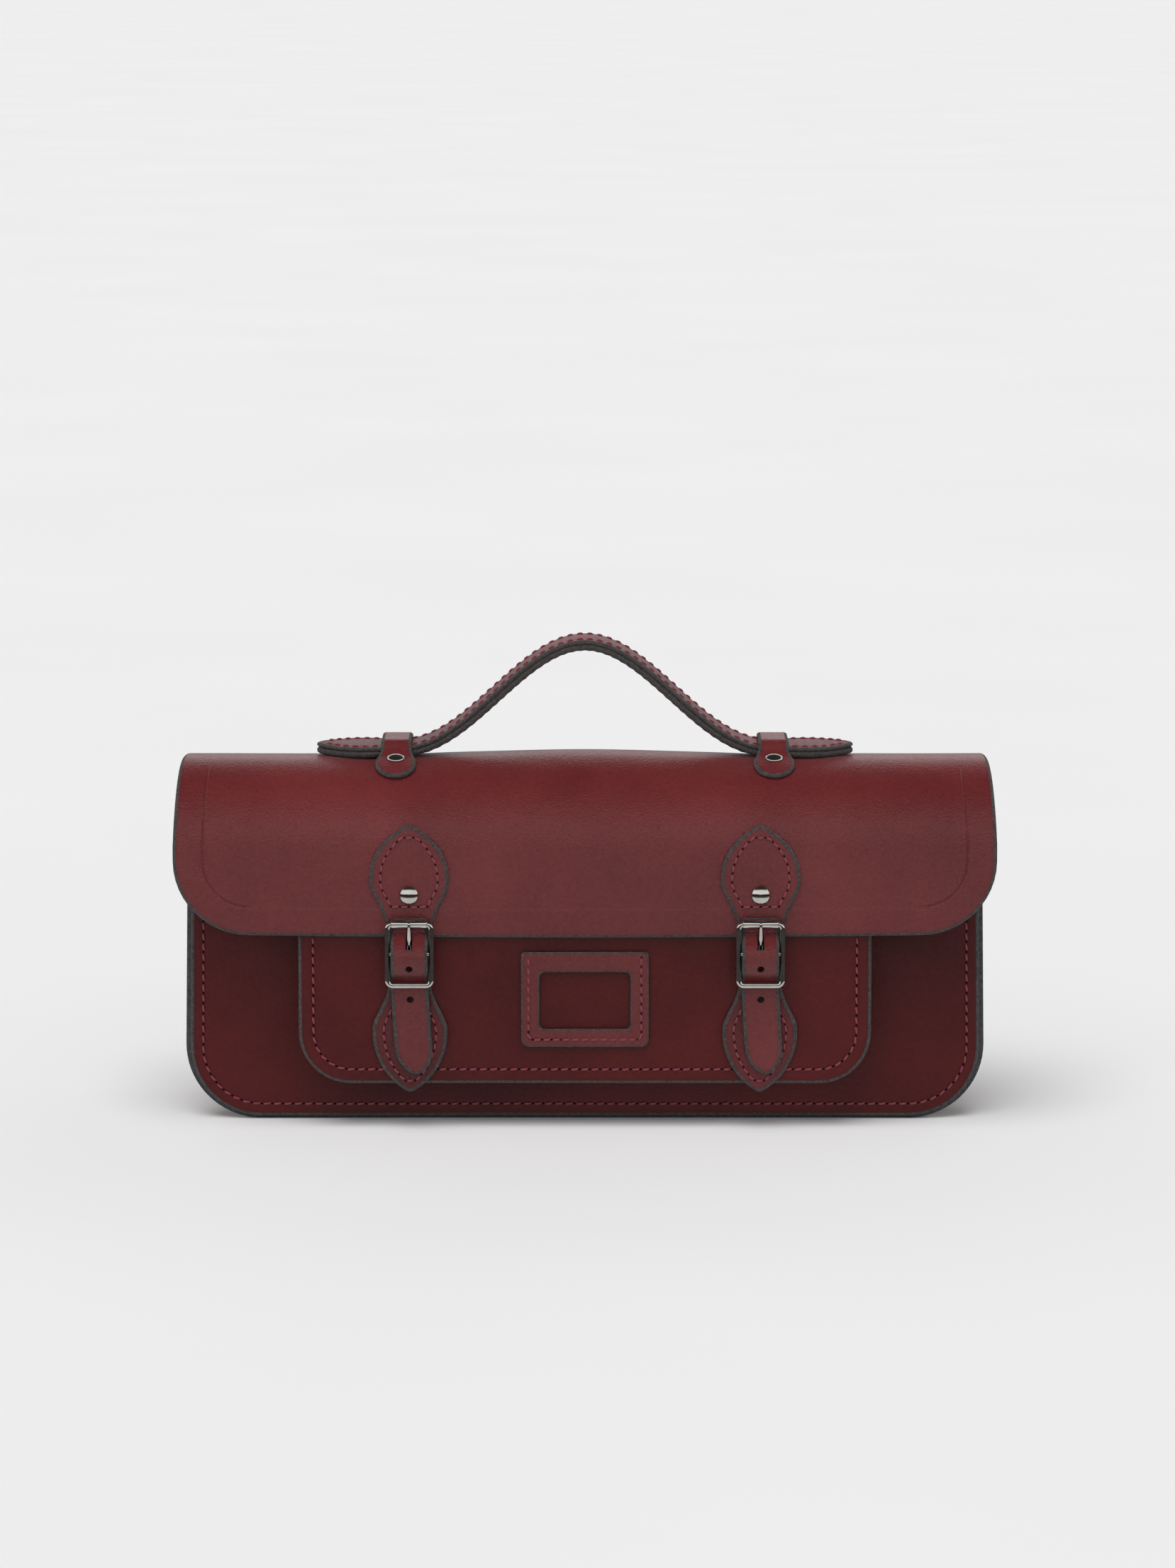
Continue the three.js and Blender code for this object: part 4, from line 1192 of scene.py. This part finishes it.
# A stud's half section, as shares of its radius and its height.
disc = [(0, 0), (0.7, 0), (0.94, 0.1), (1, 0.35), (1, 0.7), (0.94, 0.94), (0.8, 1), (0, 1)]
GAP, STUD_Z = 0.3, 85
CAP_RADIUS, CAP_HIGH, BASE_RADIUS, BASE_HIGH = 6, 1.5, 6.5, 1.2
BASE_BACK = POCKET_Y - GAP - SMALL_HIDE - GAP
CAP_BACK = BASE_BACK - BASE_HIGH - GAP
for side, place in SIDES:
    body = f"{place}_strap"
    made = welded(f"buckle_frame_{place}_nickel", buckle_frame(side), [NICKEL])
    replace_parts(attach(made, body), f"buckle_frame_{place}")
    part = turned(tube, (side * STRAP_X, BUCKLE_Y, ROLLER_Z), SIDEWAYS, 36)
    made = welded(f"roller_{place}_nickel", [part], [NICKEL])
    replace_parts(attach(made, f"{place}_roller"), f"roller_{place}")
    made = welded(f"tongue_{place}_nickel", buckle_tongue(side), [NICKEL])
    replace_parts(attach(made, f"{place}_tongue"), f"tongue_{place}")
    cap = [(r * CAP_RADIUS, h * CAP_HIGH) for r, h in disc]
    part = turned(cap, (side * STRAP_X, CAP_BACK, STUD_Z), FORWARD)
    made = welded(f"stud_cap_{place}_nickel", [part], [NICKEL])
    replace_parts(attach(made, body), f"stud_cap_{place}")
    base = [(r * BASE_RADIUS, h * BASE_HIGH) for r, h in disc]
    part = turned(base, (side * STRAP_X, BASE_BACK, STUD_Z), FORWARD)
    made = welded(f"stud_base_{place}_nickel", [part], [NICKEL])
    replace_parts(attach(made, "bag"), f"stud_base_{place}")

# %% Tabs behind the buckles
TAB_LINE = rounded([(-72.1, 82), (-72.1, 87.2), (-72.6, 89.2), (-73.1, 90.4), (-73.1, 92.2)], 0.8)
TAB_HIDE = 1.2


def tab_half(s):
    """Half width of the tab: a rounded end, then parallel sides."""
    return np.interp(s, [0, 1, 2.5, 9], [4.6, 6, 6.7, 6.75])


tab_cut = striped(tab_half, np.linspace(0, TAB_LINE[1][-1], 12), 9)
for side, place in SIDES:
    def tab_lay(x, s, side=side):
        """Up the back of the buckle and partly round its middle bar."""
        y, z = on_line(TAB_LINE, s + 0 * x, 0)
        return np.stack([x + side * STRAP_X, y, z], -1)

    tab = hide(f"buckle_tab_{place}_leather", tab_cut, tab_lay, TAB_HIDE)
    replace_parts(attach(tab, f"{place}_strap"), f"buckle_tab_{place}")

# %% [markdown]
# ## Handle and keepers
#
# The handle is one strap of two layers: pebbled hide above, a thick charcoal lining below, sewn
# together along both edges. It arches between the keepers and lies flat beyond them, widening
# into lens-shaped ends. Both layers and their thread are laid in place as fixed pieces.

# %% Handle
HANDLE_Y, HANDLE_FLAT, RISE, SPAN, HANDLE_END = -16.5, 189.8, 54, 93, 134


def handle_line():
    """The arch's top line [x, z]: a raised cosine between two flats."""
    x = np.linspace(-HANDLE_END, HANDLE_END, 1200)
    inside = np.abs(x) < SPAN
    return np.stack([x, HANDLE_FLAT + inside * RISE / 2 * (1 + np.cos(np.pi * x / SPAN))], 1)


ARCH = handle_line()
ARCH_LENGTH = run_length(ARCH)
HALF_LONG = ARCH_LENGTH[-1] / 2


def handle_half(s):
    """Half width at s from the middle: parallel, then swelling and closing to a pointed end."""
    to_end = HALF_LONG - np.abs(s)
    lens = [0, 0.8, 2.5, 6, 10.5, 15, 19, 24, 29, 33, 40]
    width = [1.2, 3.4, 6.2, 9.8, 13.2, 15.6, 16.8, 17, 15.8, 14.2, 13.5]
    return np.interp(to_end, lens, width)


def handle_lay(below):
    """Along the arch, at a distance below its top line."""
    def lay(x, s):
        """The arch's line, lowered, with the top layer a little crowned."""
        along, height = on_line((ARCH, ARCH_LENGTH), s + HALF_LONG + 0 * x, -below)
        crown = 0.35 * (1 - np.clip(np.abs(x) / 14, 0, 1) ** 2) * (below == 0)
        return np.stack([along, HANDLE_Y - x, height + crown - 0.35 * (below == 0)], -1)
    return lay


def scallops(x, s):
    """The lining's lower edges are drawn in at each stitch."""
    edge = np.clip((np.abs(x) - handle_half(s) + 5) / 4, 0, 1)
    return 0.45 * edge * (np.abs(np.sin(np.pi * s / 5)) - 0.5)


def handle_relief(x, s):
    """The groove under the stitches, along both edges."""
    return groove(np.abs(x) - handle_half(s) + HANDLE_SEAM, 0, 0.9, 0.3)


HANDLE_SEAM = 3.1
near_end = HALF_LONG - 8 * np.linspace(0, 1, 14) ** 1.7  # stations crowd where the lens closes
stations = [np.arange(-HALF_LONG + 8, HALF_LONG - 8, 1.0), near_end, -near_end]
handle_cut = striped(handle_half, np.unique(np.concatenate(stations)), 17)
along_seam = np.linspace(-HALF_LONG + 3.5, HALF_LONG - 3.5, 900)
from_middle = np.maximum(handle_half(along_seam) - HANDLE_SEAM, 0.3)
handle_edge = np.stack([from_middle, along_seam], 1)
finishes = [PEBBLED, EDGE, FLESH]
tops = hide("handle_outer_leather", handle_cut, handle_lay(0), 2.1, handle_relief, finishes)
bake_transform(tops)
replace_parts(tops, "handle_grip", "handle_end_left", "handle_end_right")
finishes = [FLESH, EDGE, FLESH]
lining = hide("handle_lining_leather", handle_cut, handle_lay(2.25), 3.25, None, finishes, scallops)
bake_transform(lining)
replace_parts(lining, "handle_lining")
sewn = sew("handle_thread", [handle_edge, handle_edge * (-1, 1)], handle_lay(0), 5.0, 0.25)
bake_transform(sewn)

# %% Keepers over the handle
def flap_top(y, lift):
    """Height of the flap's top at a depth y, plus a lift along the normal."""
    centre, radius = (BEND_Z, BEND) if y < BEND_Y else (BEND_Z + BEND - CROWN, CROWN)
    return centre + np.sqrt((radius + lift) ** 2 - (y - BEND_Y) ** 2)


over = HANDLE_FLAT + 0.9
LOOP_POINTS = [(y, flap_top(y, 0.4)) for y in (-52.5, -47, -42, -37)]
LOOP_POINTS += [(-32.6, 186.2), (-29.6, over), (-16.5, over), (-3.4, over), (-0.4, 186)]
LOOP_POINTS += [(y, flap_top(y, 0.4)) for y in (5, 10, 15, 21)]
KEEPER = rounded(LOOP_POINTS, 1.3)
KEEPER_LONG, KEEPER_HIDE, KEEPER_X = KEEPER[1][-1], 2.3, 95


def keeper_half(s):
    """Round pads at both ends and a narrower waist over the handle."""
    to_end = np.minimum(s, KEEPER_LONG - s)
    r = 8.5
    pad = np.sqrt(np.clip(r**2 - np.clip(r - to_end, 0, None) ** 2, 0.4, None))
    waist = np.interp(to_end, [0, 13, 22, 26], [r, r, 6.1, 6])
    return np.minimum(pad, waist)


def rivet(name, seat, normal, radius, height, grip, body):
    """A domed cap with a rolled rim, its post and the back cap it is set into."""
    n = unit(np.asarray(normal, float))
    cap = [(0, -0.1), (radius * 0.93, -0.1), (radius, 0.1)]
    for a in np.radians(np.linspace(0, 82, 12))[1:]:
        cap.append((radius * np.cos(a), 0.12 + height * np.sin(a)))
    cap.append((0, height + 0.14))
    post = [(0, -grip), (1.5, -grip), (1.5, 0), (0, 0)]
    back = [(0, -1), (radius * 0.9, -1), (radius, -0.6), (radius, 0), (0, 0)]
    back = [(r, h - grip) for r, h in back]
    parts = [turned(p, seat, n, 44 if p is cap else 24) for p in (cap, post, back)]
    made = welded(name + "_nickel", parts, [NICKEL])
    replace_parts(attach(made, body), name, name + "_back")


MIDDLE = np.zeros(1)


def seat_on(lay, s):
    """The point and the normal on a piece's middle line at s."""
    return lay(MIDDLE, s)[0], normals(lay, MIDDLE, s)[0]


keeper_cut = striped(keeper_half, closer_at_ends(0.1, KEEPER_LONG - 0.1, 1), 15)
for side, place in SIDES:
    def keeper_lay(x, s, side=side):
        """Over the handle from pad to pad, across the flap."""
        y, z = on_line(KEEPER, s + 0 * x, KEEPER_HIDE)
        return np.stack([x + side * KEEPER_X, y, z], -1)

    keeper = hide(f"handle_loop_{place}_leather", keeper_cut, keeper_lay, KEEPER_HIDE)
    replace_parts(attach(keeper, "flap"), f"handle_loop_{place}")
    for y, end in ((-40, "front"), (9, "rear")):
        seat, n = seat_on(keeper_lay, np.interp(y, KEEPER[0][:, 0], KEEPER[1]) + MIDDLE)
        rivet(f"loop_rivet_{place}_{end}", seat, n, 4.65, 1.9, 6.6, "flap")
    seat, n = seat_on(upper_lay(side), np.array([RIVET_Z]))
    rivet(f"leaf_rivet_{place}", seat, n, 4.75, 2.2, 5.9, "flap")

# %% [markdown]
# ## Floor, light and camera
#
# The bag stands on a pale seamless floor in a white studio. The world gives most of the light:
# a white band a little above eye level, dark overhead, which leaves the flap's bend deep red,
# and dark just under the horizon. A wide sun adds the soft direction and the contact shadow.

# %% Floor
def make_floor():
    """A 60 m sheet, so that it fills the view with no horizon."""
    material, tree, where = finish("matt_white_floor")
    grain = noise(tree, where, 400, 2)
    tone = ramp(tree, (grain, 0), [(0.3, "#efefef"), (0.7, "#f1f1f1")])
    matt = add(
        tree, "ShaderNodeBsdfPrincipled",
        {"Base Color": (tone, 0), "Roughness": 1.0, "Specular IOR Level": 0.0},
    )
    add(tree, "ShaderNodeOutputMaterial", {"Surface": (matt, 0)})
    mesh = bpy.data.meshes.new("floor")
    r = 30.0  # half its side, in metres
    mesh.from_pydata([(-r, -r, 0), (r, -r, 0), (r, r, 0), (-r, r, 0)], [], [(0, 1, 2, 3)])
    mesh.materials.append(material)
    made = bpy.data.objects.new("floor", mesh)
    bpy.context.scene.collection.objects.link(made)
    made.visible_glossy = False  # so that the metal and the leather mirror the world alone
    return made


floor = make_floor()
print("floor", floor.dimensions[0], "m across")

# %% Light
def make_world():
    """White light whose strength follows the height of the direction looked in."""
    world = bpy.data.worlds.new("studio")
    bpy.context.scene.world = world
    world.use_nodes = True
    tree = world.node_tree
    tree.nodes.clear()
    where = add(tree, "ShaderNodeTexCoord", {})
    parts = add(tree, "ShaderNodeSeparateXYZ", {"Vector": (where, "Generated")})
    height = spread(tree, (parts, "Z"), 0, 1, -1, 1)
    below = [(0.33, "#dcdcdc"), (0.38, "#505050"), (0.46, "#262626"), (0.53, "#303030")]
    above = [(0.555, "#ffffff"), (0.76, "#ffffff"), (0.84, "#3c3c3c"), (1.0, "#303030")]
    tone = ramp(tree, (height, 0), below + above)
    light = add(tree, "ShaderNodeBackground", {"Color": (tone, 0), "Strength": 1.02})
    add(tree, "ShaderNodeOutputWorld", {"Surface": (light, 0)})


def make_sun(strength, spread_degrees, tilt, turn):
    """A sun so wide that its shadows are only a soft darkening."""
    lamp = bpy.data.lights.new("overhead_softbox", "SUN")
    lamp.energy, lamp.angle = strength, np.radians(spread_degrees)
    made = bpy.data.objects.new("overhead_softbox", lamp)
    made.rotation_euler = (np.radians(tilt), 0, np.radians(turn))
    made.visible_glossy = False
    bpy.context.scene.collection.objects.link(made)


make_world()
make_sun(2.05, 45, 24, -12)
bpy.context.scene.view_settings.view_transform = "Standard"
print("light: a white world and one wide sun")

# %% Camera
def make_camera():
    """Almost three metres in front, looking slightly down, with a long lens."""
    lens = bpy.data.cameras.new("camera")
    lens.sensor_width, lens.lens, lens.clip_end = 36, 130.2, 100
    made = bpy.data.objects.new("camera", lens)
    made.location = (0.0013, -2.8384, 0.6182)
    made.rotation_euler = (np.radians(90 - 9), 0, 0)  # nine degrees down
    bpy.context.scene.collection.objects.link(made)
    bpy.context.scene.camera = made
    return made


camera = make_camera()
print("camera lens", round(camera.data.lens, 1), "mm")
